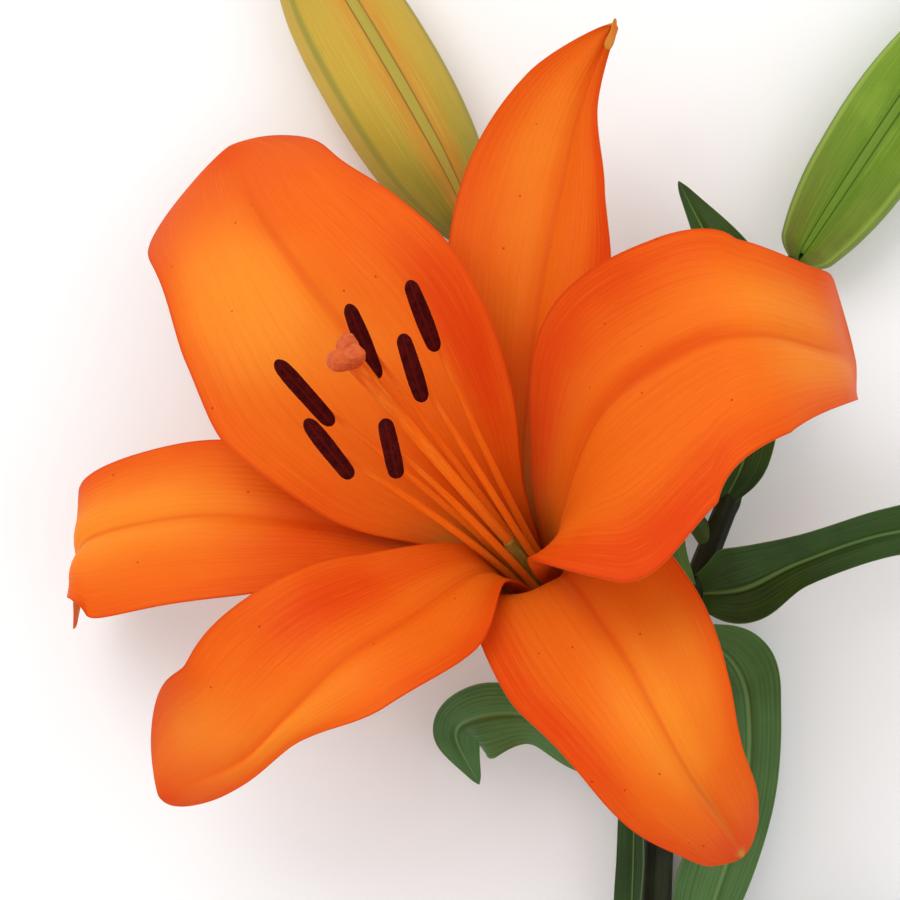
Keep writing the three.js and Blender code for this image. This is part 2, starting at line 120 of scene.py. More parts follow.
def fromFlower(points):
    return flowerFrame["base"] + points @ flowerWays


stamens = {
    "length": 76,          # from the throat to the middle of the anther
    "ring": 3.1,           # radius of the ring of feet
    "sunk": 0.8,           # how far the feet reach down below the flower's base
    "filament": 0.78,      # radius
    "width": 3.6,          # of an anther
    "pitch": 50,           # of an anther above the flower's own level
    "bow": 0.35,           # how far an anther's ends bend back
    "groove": 0.3,         # depth of the seam between the two halves, as a share of the radius
    "flank": 0.1,          # and of the shallow ones at the sides
    "pollen": 0.05,        # height of the grains
    # foot azimuth, azimuth and lean of the anther's middle, turn of the anther, its length
    "places": [(40, 33, 21, 8, 17), (100, 68, 14, 3, 14.5), (-20, 0, 18, -21, 16),
               (-80, -31, 18, -22, 15), (-140, -26, 8, -28, 14), (160, 110, 6, -36, 12)],
}


def antherMiddle(azimuth, lean):
    lean = math.radians(lean)
    return stamens["length"] * (math.sin(lean) * turned(azimuth) + math.cos(lean) * upward)


# The direction that an anther points in, from its own turn.
def antherWay(turn):
    pitch = math.radians(stamens["pitch"])
    return math.cos(pitch) * turned(turn) + math.sin(pitch) * upward


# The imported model's place, from the middles of its anthers.
def packedShift():
    drawn = [fromFlower(antherMiddle(place[1], place[2])) for place in stamens["places"]]
    boxes = [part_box(f"anther_{i + 1}") for i in range(len(drawn))]
    packed = [np.array((low + high) / 2) / metre for low, high in boxes]
    return np.mean(packed, axis=0) - np.mean(drawn, axis=0)


shift = packedShift()
print("plant's frame set, shift", [round(float(s), 2) for s in shift])


# Puts a solid's points and faces into a mesh at the origin, in place of the node of the same name. place
# carries the points out of a flower's or bud's own frame. The faces are turned round where the volume, the
# sum of a . (b x c) over the triangles, comes out below 0. The materials read two attributes: "skin" holds
# across (or the cosine of the angle), along, and 1 in front or 0 behind (or the sine), and "tone" holds the
# strength of a petal's three kinds of patch.
def makePiece(node, solid, finish, place=None, tone=None):
    points, faces, skin = solid
    if place:
        points = place(points)
    volume = 0.0
    for group in faces:
        a = points[group[:, 0]]
        for k in range(1, group.shape[1] - 1):
            volume += np.sum(a * np.cross(points[group[:, k]], points[group[:, k + 1]]))
    if volume < 0:
        faces = [group[:, ::-1] for group in faces]
    mesh = bpy.data.meshes.new(node + "_skin")
    placed = (points + shift) * metre
    mesh.from_pydata(placed.tolist(), [], [face for group in faces for face in group.tolist()])
    mesh.polygons.foreach_set("use_smooth", np.ones(len(mesh.polygons), bool))
    for title, values in (("skin", skin), ("tone", tone)):
        if values is not None:
            layer = mesh.attributes.new(title, "FLOAT_VECTOR", "POINT")
            layer.data.foreach_set("vector", np.asarray(values, np.float32).ravel())
    mesh.materials.append(finish)
    mesh.update()
    piece = bpy.data.objects.new(node + "_skin", mesh)
    bpy.context.scene.collection.objects.link(piece)
    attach(piece, "root")
    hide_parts(node)


# The four-sided faces between rings of points, each ring closed on itself.
def ringFaces(rows, count):
    index = np.arange(rows * count).reshape(rows, count)
    beside = np.roll(index, -1, axis=1)
    return np.stack([index[:-1], beside[:-1], beside[1:], index[1:]], -1).reshape(-1, 4)


# What each point carries for the materials, spread over a grid of the given shape.
def marks(across, along, front, shape):
    return np.stack([np.broadcast_to(part, shape) for part in (across, along, front)], -1)


# A closed sheet from a front and a back grid: a ring goes out along the front and comes home along the
# back, and the two end rings are closed by joining them across.
def closedSheet(front, back, across, along):
    shape = front.shape[:2]
    rings = np.concatenate([front, back[:, ::-1]], 1)
    skin = np.concatenate([marks(across, along, 1.0, shape), marks(across, along, 0.0, shape)[:, ::-1]], 1)
    rows, count = rings.shape[:2]
    j = np.arange(count // 2 - 1)
    k = count - 1 - j
    start = np.stack([j, k, k - 1, j + 1], -1)
    end = (rows - 1) * count + np.stack([j, j + 1, k - 1, k], -1)
    return rings.reshape(-1, 3), [np.concatenate([ringFaces(rows, count), start, end])], skin.reshape(-1, 3)


# A closed round body from rings: each end is a fan of triangles to its own middle point.
def closedRound(rings, skin):
    rows, count = rings.shape[:2]
    points = np.concatenate([rings.reshape(-1, 3), rings[0].mean(0)[None], rings[-1].mean(0)[None]])
    skin = np.concatenate([skin.reshape(-1, 3), skin[0].mean(0)[None], skin[-1].mean(0)[None]])
    j = np.arange(count)
    beside = (j + 1) % count
    base = (rows - 1) * count
    start = np.stack([np.full(count, rows * count), beside, j], -1)
    end = np.stack([np.full(count, rows * count + 1), base + j, base + beside], -1)
    return points, [ringFaces(rows, count), np.concatenate([start, end])], skin


# Points round an axis: a radius and an angle at each level.
def roundAxis(radius, angle, level):
    level = np.broadcast_to(level, radius.shape)
    return np.stack([radius * np.cos(angle), radius * np.sin(angle), level], -1)


narrowest = 0.12         # half width that every blade keeps at its very end


# A petal or leaf as one closed sheet. Across each station the front is an arc either side of the midrib:
# out = W sin(Bv) / B and up = W (1 - cos(Bv)) / B, for half width W, cup angle B and v from -1 to 1.
# W is rounded off towards the tip as a quarter of an ellipse. relief(t, v, W) lifts the front along its
# normal, and the back lies one thickness behind it, thinner towards the margins. Rows crowd to the tip.
def blade(path, hint, shape, relief):
    u = np.linspace(0, 1, shape["rows"] + 1)
    t = 1 - (1 - u) ** 1.5
    v = np.linspace(-1, 1, shape["columns"] + 1)
    middle, ahead = alongPath(path, t)
    side = hint(ahead)
    side = unit(side - np.sum(side * ahead, -1, keepdims=True) * ahead)
    roll = np.radians(smoothRun(shape.get("roll", [0, 0]), t))[:, None]
    side = side * np.cos(roll) + np.cross(ahead, side) * np.sin(roll)
    face = np.cross(ahead, side)

    halves = smoothRun(pairs(shape["half"]), t)
    cups = np.radians(smoothRun(pairs(shape["cup"]), t))
    pointing = np.clip((t - shape["tipFrom"]) / (1 - shape["tipFrom"]), 0, 1)
    tip = np.maximum(1 - pointing ** shape["tipPower"], 0) ** (1 / shape["tipPower"])
    half = np.where(v < 0, halves[:, :1], halves[:, 1:]) * tip[:, None]
    half = np.maximum(half, narrowest)
    bend = np.where(v < 0, cups[:, :1], cups[:, 1:])
    bend = np.where(np.abs(bend) < 1e-3, 1e-3, bend)
    out = half * np.sin(bend * v) / bend
    up = half * (1 - np.cos(bend * v)) / bend
    front = middle[:, None] + out[..., None] * side[:, None] + up[..., None] * face[:, None]
    normal = unit(np.cross(np.gradient(front, axis=0), np.gradient(front, axis=1)))
    front = front + relief(t[:, None], v[None], half)[..., None] * normal
    rim = shape["rimShare"] + (1 - shape["rimShare"]) * np.sqrt(1 - v**2)
    thickness = shape["thickness"] * rim[None] * np.maximum(tip, 0.3)[:, None]
    back = front - thickness[..., None] * normal
    return closedSheet(front, back, v, t[:, None])


# A round body carried along a path: a ring square to the path at each station, of radius r(t) times
# swell(t, angle), angle 0 lying towards hint. roundEnds is the share of the length that each end rounds
# over, as a quarter of an ellipse.
def tube(path, radii, hint, steps, sides, swell=None, roundEnds=0.0):
    u = np.linspace(0, 1, steps + 1)
    t = 0.5 - 0.5 * np.cos(np.pi * u) if roundEnds else u
    angle = np.linspace(0, 2 * np.pi, sides, endpoint=False)
    middle, ahead = alongPath(path, t)
    first = unit(hint - np.sum(hint * ahead, -1, keepdims=True) * ahead)
    second = np.cross(ahead, first)
    radius = smoothRun(radii, t)[:, None] * np.ones_like(angle)
    if roundEnds:
        nearEnd = np.clip(np.minimum(t, 1 - t) / roundEnds, 0, 1)
        radius = radius * np.sqrt(np.maximum(1 - (1 - nearEnd) ** 2, 0.0004))[:, None]
    if swell is not None:
        radius = radius * swell(t[:, None], angle[None])
    out = np.cos(angle)[None, :, None] * first[:, None] + np.sin(angle)[None, :, None] * second[:, None]
    rings = middle[:, None] + radius[..., None] * out
    return closedRound(rings, marks(np.cos(angle), t[:, None], np.sin(angle), radius.shape))


# One material's node tree, with short ways to add what the finishes below are made of. Each piece carries
# across, along and front as an attribute, and place is in object coordinates.
class Shades:
    def __init__(self, name):
        self.material = bpy.data.materials.new(name)
        self.material.use_nodes = True
        self.tree = self.material.node_tree
        self.shader = self.tree.nodes["Principled BSDF"]
        skin = self.add("ShaderNodeAttribute", attribute_name="skin")
        parts = self.add("ShaderNodeSeparateXYZ", {"Vector": skin.outputs["Vector"]})
        self.across, self.along, self.front = parts.outputs
        self.place = self.add("ShaderNodeTexCoord").outputs["Object"]

    def add(self, kind, inputs=None, **settings):
        made = self.tree.nodes.new(kind)
        for name, value in settings.items():
            setattr(made, name, value)
        for key, value in (inputs or {}).items():
            self.give(made.inputs[key], value)
        return made

    def give(self, socket, value):
        if isinstance(value, bpy.types.NodeSocket):
            self.tree.links.new(value, socket)
        else:
            socket.default_value = value

    def sums(self, operation, a, b=0.0, c=0.0):
        return self.add("ShaderNodeMath", {0: a, 1: b, 2: c}, operation=operation).outputs[0]

    def times(self, a, b):
        return self.sums("MULTIPLY", a, b)

    def plus(self, a, b):
        return self.sums("ADD", a, b)

    def blend(self, a, b, share):
        return self.plus(self.times(a, share), self.times(b, 1 - share))

    def scaled(self, value, factor, start):
        return self.sums("MULTIPLY_ADD", value, factor, start)

    # An S-shaped rise from 0 to 1 as the value goes from low to high.
    def rise(self, value, low, high):
        made = self.add("ShaderNodeMapRange", {"Value": value, "From Min": low, "From Max": high},
                        interpolation_type="SMOOTHSTEP")
        return made.outputs["Result"]

    # A colour that changes along a value: stops are (position, linear colour).
    def ramp(self, value, stops):
        made = self.add("ShaderNodeValToRGB", {"Fac": value})
        made.color_ramp.interpolation = "B_SPLINE"
        points = made.color_ramp.elements
        while len(points) < len(stops):
            points.new(0.5)
        for element, (position, colour) in zip(points, stops):
            element.position = position
            element.color = (*colour, 1)
        return made.outputs["Color"]

    # From colour a to colour b by the amount.
    def mix(self, amount, a, b):
        made = self.add("ShaderNodeMix", data_type="RGBA")
        for index, value in ((0, amount), (6, a), (7, b)):
            if isinstance(value, tuple):
                value = (*value, 1)
            self.give(made.inputs[index], value)
        return made.outputs[2]

    # The colour with another laid over it, by a strength, where the value goes from low to high.
    def over(self, colour, other, strength, value, low, high):
        return self.mix(self.times(self.rise(value, low, high), strength), colour, other)

    # Noise stretched along a sheet: fine across, slow along, and apart from front to back.
    def streaks(self, fineness, slowness, detail=3.0, depth=3.0):
        way = self.add("ShaderNodeCombineXYZ", {
            0: self.times(self.across, fineness),
            1: self.times(self.along, slowness),
            2: self.times(self.front, depth)}).outputs[0]
        return self.add("ShaderNodeTexNoise", {"Vector": way, "Scale": 1.0, "Detail": detail}).outputs["Fac"]

    # The same on a round piece: fine lines that run lengthwise, spaced evenly all the way round.
    def lengthwise(self, fineness, slowness, detail=3.0):
        return self.streaks(fineness, slowness, detail, fineness)

    # Mottling in space, size in metres between blotches.
    def mottle(self, size, detail=3.0):
        inputs = {"Vector": self.place, "Scale": 1 / size, "Detail": detail}
        return self.add("ShaderNodeTexNoise", inputs).outputs["Fac"]

    # Small spots: 1 inside a spot of the given radius share, 0 outside, and only in a few cells.
    def specks(self, size, radius, share):
        cells = self.add("ShaderNodeTexVoronoi", {"Vector": self.place, "Scale": 1 / size})
        chosen = self.add("ShaderNodeSeparateColor", {"Color": cells.outputs["Color"]}).outputs[0]
        spot = self.sums("LESS_THAN", cells.outputs["Distance"], radius)
        return self.times(spot, self.sums("LESS_THAN", chosen, share))

    def bump(self, height, depth, strength):
        made = self.add("ShaderNodeBump", {"Height": height, "Distance": depth, "Strength": strength})
        self.give(self.shader.inputs["Normal"], made.outputs["Normal"])

    # flesh is the share of light that passes under the skin, and reach how far each of its colours goes.
    def finish(self, colour, roughness, specular, flesh=0.0, reach=None):
        self.give(self.shader.inputs["Base Color"], colour)
        self.give(self.shader.inputs["Roughness"], roughness)
        self.shader.inputs["Specular IOR Level"].default_value = specular
        if flesh:
            self.shader.inputs["Subsurface Weight"].default_value = flesh
            self.shader.inputs["Subsurface Radius"].default_value = reach
            self.shader.inputs["Subsurface Scale"].default_value = 1.0
        return self.material


petalColours = {
    # along the middle of a petal, base to tip
    "middle": [(0.0, (0.36, 0.17, 0.012)), (0.10, (0.66, 0.17, 0.010)), (0.25, (0.78, 0.135, 0.005)),
               (0.5, (0.80, 0.135, 0.005)), (0.8, (0.80, 0.130, 0.005)), (1.0, (0.70, 0.085, 0.004))],
    # along its margins
    "margin": [(0.0, (0.52, 0.10, 0.004)), (0.3, (0.75, 0.094, 0.003)), (0.7, (0.77, 0.102, 0.003)),
               (1.0, (0.62, 0.052, 0.002))],
    # pale patches: partly the petal's own paler colour, partly painted light where light falls on it
    "paleAndLit": (0.88, 0.255, 0.017),      # the pale patches
    # red patches: partly the petal's own redder colour, partly painted shade
    "redAndShaded": (0.68, 0.052, 0.001),     # the red ones
    "green": (0.46, 0.32, 0.05),       # the callus at a tip and the furrow at a foot
    # the line of the midrib: partly its own darker colour, partly painted shade in the crease
    "groove": (0.66, 0.072, 0.002),    # the line of the midrib
    "rim": (0.56, 0.028, 0.001),       # the very edge
    "back": (0.74, 0.17, 0.014),
    "backRib": (0.42, 0.30, 0.05),
    "speck": (0.25, 0.02, 0.003),
}


def petalFinish():
    s = Shades("lily petal")
    tone = s.add("ShaderNodeAttribute", attribute_name="tone")
    paleAndLit, redAndShaded, green = s.add("ShaderNodeSeparateXYZ", {"Vector": tone.outputs["Vector"]}).outputs
    distance = s.sums("ABSOLUTE", s.across)
    wobble = s.scaled(s.mottle(0.022, 2), 0.5, -0.25)
    edgeward = s.plus(distance, wobble)
    middle, margin = (s.ramp(s.along, petalColours[part]) for part in ("middle", "margin"))
    colour = s.mix(s.rise(edgeward, 0.6, 1.1), middle, margin)

    # the pale patches, partly painted light, and the red ones, partly painted shade, broken up by the
    # mottling and by the veins
    veins = s.streaks(46, 3.2, 3)
    fine = s.streaks(120, 6, 2)
    broken = s.plus(wobble, s.scaled(veins, 0.3, -0.15))
    colour = s.mix(s.rise(s.plus(redAndShaded, broken), 0.05, 0.95), colour, petalColours["redAndShaded"])
    colour = s.mix(s.rise(s.plus(paleAndLit, broken), 0.1, 1.0), colour, petalColours["paleAndLit"])
    colour = s.mix(green, colour, petalColours["green"])

    # the midrib's groove, a darker line that is partly its own colour and partly painted shade in the
    # crease, then the fine fanning veins
    grooveLine = s.times(s.rise(distance, 0.06, 0.0), s.rise(s.along, 0.97, 0.8))
    colour = s.mix(s.times(grooveLine, 0.5), colour, petalColours["groove"])
    vein = s.plus(s.times(s.rise(veins, 0.42, 0.66), 0.22), s.times(fine, 0.16))
    colour = s.mix(vein, colour, s.mix(0.5, colour, petalColours["rim"]))
    hairs = s.times(s.rise(s.streaks(170, 9, 2), 0.56, 0.76), 0.3)
    colour = s.mix(hairs, colour, petalColours["paleAndLit"])

    colour = s.over(colour, petalColours["rim"], 0.5, distance, 0.965, 1.0)
    colour = s.mix(s.times(s.specks(0.0032, 0.08, 0.14), 0.65), colour, petalColours["speck"])

    # the outer face is duller, with a greenish midrib
    outer = s.mix(0.5, colour, petalColours["back"])
    outer = s.mix(s.rise(distance, 0.16, 0.0), outer, petalColours["backRib"])
    colour = s.mix(s.rise(s.front, 0.6, 0.4), colour, outer)

    cells = s.mottle(0.0007, 2)
    s.bump(s.blend(veins, cells, 0.7), 0.00022, 0.55)
    return s.finish(colour, s.scaled(veins, 0.16, 0.46), 0.08, 0.12, (0.004, 0.0012, 0.0003))


petalShape = {
    "innerRing": 4.0,        # radius of the ring where the three inner petals start
    "outerRing": 5.8,        # and the three sepals
    "thickness": 0.9,
    "rimShare": 0.28,        # of the thickness left at the margins
    "grooveDepth": 1.1,
    "grooveWidth": 1.7,
    "ridgeHeight": 0.35,     # the two low ridges beside the groove
    "ridgeOut": 4.2,         # how far they lie from the midrib
    "ridgeWidth": 2.2,
    "fullAt": 12,            # half width below which groove and ridges narrow with the petal
    "veinCount": 13,         # each side of the midrib
    "veinHeight": 0.045,
    "rows": 150,
    "columns": 150,
}

# Azimuth about the flower's axis; then at even stations from base to tip how far it reaches out (from its
# ring), how high it rises, how far it sweeps round, its half width and cupping, one number or (one side,
# the other). tipFrom is where the tip starts to round off and tipPower how square it is. wave is the height
# and number of the waves in each margin, and where they start. The last three are soft patches of colour:
# middle across and along, size across and along, and strength. The pale ones are partly the petal's own
# paler colour and partly painted light where light falls on it; the red ones are partly its own redder
# colour and partly painted shade; the green ones are its own colour.
petals = {
    "petal_upper_left": {
        "azimuth": 2, "inner": True, "tipFrom": 0.86, "tipPower": 2.4,
        "reach": [0, 9, 19, 35, 52, 73, 96],
        "rise": [0, 23, 42, 55, 63, 62, 57],
        "sweep": [0, 1, 1, 0, 0, -1, -4.6],
        "half": [4.2, 11, (21.5, 26), (27, 33), (24.5, 29), (19.5, 24.5), (15.5, 28)],
        "cup": [60, (45, 35), (38, 28), (25, 20), (12, 10), 0, -25],
        "wave": [(0.7, 2.3, 0.1), (0.9, 2.0, 0.6)],
        "paleAndLit": [(0.3, 0.68, 0.36, 0.22, 0.9), (0.75, 0.72, 0.3, 0.2, 0.5), (-0.2, 0.5, 0.4, 0.2, 0.3)],
        "redAndShaded": [(-0.75, 0.42, 0.28, 0.25, 0.9), (0.85, 0.35, 0.25, 0.22, 0.2), (0.1, 1.0, 0.5, 0.05, 0.6)],
        "green": [(0.85, 0.13, 0.3, 0.07, 0.5)],
    },
    "petal_right": {
        "azimuth": -112, "inner": True, "tipFrom": 0.88, "tipPower": 2.1,
        "reach": [0, 13, 29, 50, 64, 74, 76],
        "rise": [0, 26, 49, 60, 58, 40, 18],
        "sweep": [0, 1, 6, 7, 6, 9, 18.5],
        "half": [4.2, (16.5, 12), (43.5, 23), (36, 22.5), (22.5, 20), (11.5, 16.5), (8, 15)],
        "cup": [60, (72, 40), (18, 35), (5, 25), (5, 15), (-5, 14), (-20, 14)],
        "wave": [(0.8, 2.2, 0.3), (0.8, 2.6, 0.0)],
        "paleAndLit": [(0.4, 0.7, 0.4, 0.22, 0.7), (-0.35, 0.8, 0.45, 0.2, 0.75)],
        "redAndShaded": [(0.8, 0.33, 0.4, 0.28, 0.75), (-0.9, 0.4, 0.35, 0.3, 0.8), (0.03, 0.5, 0.1, 0.25, 0.45)],
        "green": [],
    },
    "petal_lower_left": {
        "azimuth": 108, "inner": True, "tipFrom": 0.86, "tipPower": 2.4,
        "reach": [0, 9, 26, 41, 56, 69, 82.5],
        "rise": [0, 26, 38, 44, 41, 33, 20],
        "sweep": [0, 2, 3, 1, -3, -10, -27.5],
        "half": [4.2, (8, 6.5), (18, 18.5), (21.5, 15.5), (23.5, 6.5), (21.5, 4.5), (20.5, 6)],
        "cup": [60, (30, 20), (25, 20), (25, 5), (20, -10), (10, -20), (-20, -30)],
        "wave": [(0.6, 2.0, 0.5), (0.6, 2.4, 0.2)],
        "paleAndLit": [(0.35, 0.65, 0.5, 0.25, 0.7), (-0.45, 0.85, 0.4, 0.16, 0.55)],
        "redAndShaded": [(-0.6, 0.42, 0.4, 0.24, 0.85), (0.9, 0.35, 0.4, 0.2, 0.6), (0.4, 1.0, 0.7, 0.05, 0.8)],
        "green": [],
    },
    "sepal_top": {
        "azimuth": -50, "inner": False, "tipFrom": 0.95, "tipPower": 2.0,
        "reach": [0, 14, 31, 50, 68, 81, 92, 87.5],
        "rise": [0, 19, 33, 42, 49, 58, 69, 68],
        "sweep": [0, 2, 2, 2, 1, -2, -9, -9],
        "half": [6, 10, (13, 15), (18, 20), (12.5, 20), (3.8, 13), (0.8, 1.4), (1, 1.2)],
        "cup": [60, 38, 25, (30, 20), (40, 15), (30, 10), 0, 0],
        "wave": [(0.5, 2.5, 0.0), (0.6, 2.2, 0.4)],
        "paleAndLit": [(0.25, 0.55, 0.5, 0.3, 0.6)],
        "redAndShaded": [(-0.9, 0.5, 0.3, 0.35, 0.8), (0.95, 0.25, 0.3, 0.25, 0.5), (0.0, 0.3, 0.8, 0.1, 0.4)],
        "green": [(0.0, 1.02, 3.0, 0.11, 1.1), (0.0, 0.1, 0.16, 0.13, 0.7)],
    },
    "sepal_left": {
        "azimuth": 55, "inner": False, "tipFrom": 0.97, "tipPower": 2.0,
        "reach": [0, 14, 29, 46, 64, 86, 91.5, 95],
        "rise": [0, 23, 36, 43, 44, 39, 29, 21],
        "sweep": [0, 2, 1, 0, -1, -0.4, 4.7, 11],
        "half": [6, 10, 13, (16, 18), (16.5, 19), (14.5, 18), (13, 6), 1],
        "cup": [60, 25, 12, (5, 0), (0, -10), (-5, -10), -10, -10],
        "wave": [(0.5, 2.2, 0.7), (0.5, 2.6, 0.1)],
        "paleAndLit": [(-0.1, 0.66, 0.6, 0.25, 0.9)],
        "redAndShaded": [(0.0, 0.32, 1.5, 0.15, 0.6), (-0.95, 0.8, 0.3, 0.2, 0.5), (0.2, 1.0, 2.0, 0.05, 0.6)],
        "green": [(0.0, 0.1, 0.16, 0.13, 0.6)],
    },
    "sepal_lower_right": {
        "azimuth": -172, "inner": False, "tipFrom": 0.92, "tipPower": 2.0,
        "reach": [0, 15, 38, 54, 64, 69, 71],
        "rise": [0, 22, 29, 27, 17, 4, -10],
        "sweep": [0, 3, 0, -4, -7, -8, -9],
        "half": [(8, 6), (21, 17), (23.5, 19), (19.2, 15.7), (15.8, 11.8), (10.5, 9), 5],
        "cup": [(75, 60), (65, 35), (25, 20), 10, 0, -5, -10],
        "wave": [(0.6, 2.3, 0.2), (0.5, 2.1, 0.6)],
        "paleAndLit": [(0.0, 0.52, 0.5, 0.26, 0.9), (0.7, 0.45, 0.3, 0.25, 0.4)],
        "redAndShaded": [(-0.9, 0.4, 0.3, 0.35, 0.8), (0.0, 1.02, 1.2, 0.16, 1.0), (0.95, 0.5, 0.15, 0.3, 0.15)],
        "green": [(0.0, 0.8, 0.07, 0.13, 0.35), (0.0, 0.99, 0.25, 0.02, 0.8)],
    },
}


# The groove of the midrib is a bell-shaped dip with a low ridge each side; the veins are a ripple that
# fans out with the width; the margins wave as a sine that grows with the cube of the way out.
def petalRelief(wave):
    def relief(t, v, half):
        distance = np.abs(v) * half
        lengthwise = rise(0.06, 0.25, t) * (1 - rise(0.8, 0.97, t))
        narrowing = np.clip(half / petalShape["fullAt"], 0.15, 1)
        groove = -petalShape["grooveDepth"] * bell(distance, 0, petalShape["grooveWidth"] * narrowing)
        ridges = petalShape["ridgeHeight"] * bell(distance, petalShape["ridgeOut"] * narrowing,
                                                  petalShape["ridgeWidth"] * narrowing)
        ripple = np.cos(2 * np.pi * petalShape["veinCount"] * np.abs(v) + 2.0 * t)
        ripple = ripple * rise(0.08, 0.2, np.abs(v)) * (1 - rise(0.9, 1, np.abs(v)))
        (leftHeight, leftCount, leftStart), (rightHeight, rightCount, rightStart) = wave
        left = leftHeight * np.sin(2 * np.pi * (leftCount * t + leftStart))
        right = rightHeight * np.sin(2 * np.pi * (rightCount * t + rightStart))
        margins = np.where(v < 0, left, right) * np.abs(v) ** 3 * rise(0.2, 0.45, t) * (1 - rise(0.88, 1, t))
        return (groove + ridges + petalShape["veinHeight"] * ripple) * lengthwise + margins
    return relief


# The sum of soft patches, each a bell across times a bell along.
def patches(spots, skin):
    total = np.zeros(len(skin))
    for across, along, width, length, strength in spots:
        total += strength * bell(skin[:, 0], across, width) * bell(skin[:, 1], along, length)
    return np.clip(total, 0, 1)


# The midrib is the sum of the reach outwards, the sweep across and the rise along the flower's axis, and
# the petal lies level across it.
def makePetal(name, petal, finish):
    out = turned(petal["azimuth"])
    across = np.cross(upward, out)
    reach = np.array(petal["reach"], float)
    reach[0] = petalShape["innerRing"] if petal["inner"] else petalShape["outerRing"]
    path = np.stack([reach, petal["sweep"], petal["rise"]], -1) @ np.stack([out, across, upward])
    level = np.broadcast_to(across, (petalShape["rows"] + 1, 3))
    solid = blade(path, lambda ahead: level, {**petalShape, **petal}, petalRelief(petal["wave"]))
    tone = np.stack([patches(petal[kind], solid[2]) for kind in ("paleAndLit", "redAndShaded", "green")], -1)
    makePiece(name, solid, finish, fromFlower, tone)


petalMaterial = petalFinish()
for petalName, petal in petals.items():
    makePetal(petalName, petal, petalMaterial)
print("petals made:", len(petals))


filamentColours = {
    # the paler foot is partly the filament's own colour and partly painted light that lifts the shade in the
    # throat
    "length": [(0.0, (0.96, 0.32, 0.02)), (0.2, (0.97, 0.26, 0.01)), (0.6, (0.92, 0.165, 0.004)),
               (1.0, (0.74, 0.08, 0.003))],
    "pale": (0.95, 0.31, 0.03),
}


def filamentFinish():
    s = Shades("filament")
    lines = s.lengthwise(3, 9)
    colour = s.ramp(s.along, filamentColours["length"])
    colour = s.over(colour, filamentColours["pale"], 0.5, lines, 0.4, 0.7)
    s.bump(lines, 0.00012, 0.5)
    return s.finish(colour, s.scaled(lines, 0.2, 0.35), 0.12, 0.1, (0.002, 0.0008, 0.0002))


antherColours = {
    "dark": (0.034, 0.0012, 0.0016),
    "dust": (0.085, 0.004, 0.0035),
    "seam": (0.10, 0.006, 0.003),
}


def antherFinish():
    s = Shades("anther")
    grain = s.mottle(0.00028, 4)
    patch = s.mottle(0.0016, 3)
    dusty = s.rise(s.blend(grain, patch, 0.6), 0.42, 0.62)
    colour = s.mix(dusty, antherColours["dark"], antherColours["dust"])
    colour = s.over(colour, antherColours["seam"], 0.6, s.across, 0.955, 0.995)
    s.bump(grain, 0.00018, 0.9)
    return s.finish(colour, s.scaled(grain, 0.2, 0.72), 0.04)


# An anther is a round-ended body along a slightly bowed line, pinched by a deep seam down the middle of
# its front and a shallow one at each side; the pollen is a fine roughness of its surface.
def makeAnther(number, place, finish):
    _, azimuth, lean, turn, length = place
    middle = antherMiddle(azimuth, lean)
    along = antherWay(turn)
    facing = unit(upInFlower - np.dot(upInFlower, along) * along)
    stations = np.linspace(-1, 1, 7)
    bow = stamens["bow"] * (1 - stations**2)
    path = middle + along * (stations * length / 2)[:, None] - facing * (stamens["bow"] - bow)[:, None]
    radius = stamens["width"] / 2

    def swell(t, angle):
        seam = stamens["groove"] * np.exp(-((np.cos(angle) - 1) / 0.06) ** 2)
        flanks = stamens["flank"] * np.exp(-((np.abs(np.sin(angle)) - 1) / 0.05) ** 2)
        flat = 1 - 0.12 * np.cos(angle) ** 2
        return (1 - seam - flanks) * flat * (1 + 0.02 * np.sin(9 * t + number))

    points, faces, skin = tube(path, [radius * s for s in (0.84, 0.97, 1, 0.97, 0.8)], facing, 64, 40,
                               swell, roundEnds=0.13)
    points = points + stamens["pollen"] * random.uniform(-1, 1, (len(points), 1)) * unit(points - middle)
    makePiece(f"anther_{number}", (points, faces, skin), finish, fromFlower)


# A filament stands straight at its foot, leans out as the power 1.5 of its height and thins to a fine
# neck that runs into the middle of the anther's back.
def makeFilament(number, place, finish):
    footAzimuth, azimuth, lean, turn, _ = place
    along = antherWay(turn)
    back = unit(along[2] * along - upward)
    foot = stamens["ring"] * turned(footAzimuth) - stamens["sunk"] * upward
    top = antherMiddle(azimuth, lean) + back * stamens["width"] * 0.36      # just inside the anther's back
    share = np.linspace(0, 1, 9)[:, None]
    level = foot + (top - foot) * share**1.5
    path = np.concatenate([level[:, :2], foot[2] + (top[2] - foot[2]) * share], 1)
    radius = stamens["filament"]
    radii = [radius * s for s in (1.25, 1.1, 1.0, 0.98, 0.95, 0.9, 0.78, 0.6, 0.4)]
    solid = tube(path, radii, sideways, 72, 16, roundEnds=0.01)
    makePiece(f"filament_{number}", solid, finish, fromFlower)


filamentMaterial = filamentFinish()
antherMaterial = antherFinish()
for number, place in enumerate(stamens["places"], 1):
    makeAnther(number, place, antherMaterial)
    makeFilament(number, place, filamentMaterial)
print("stamens made:", len(stamens["places"]))


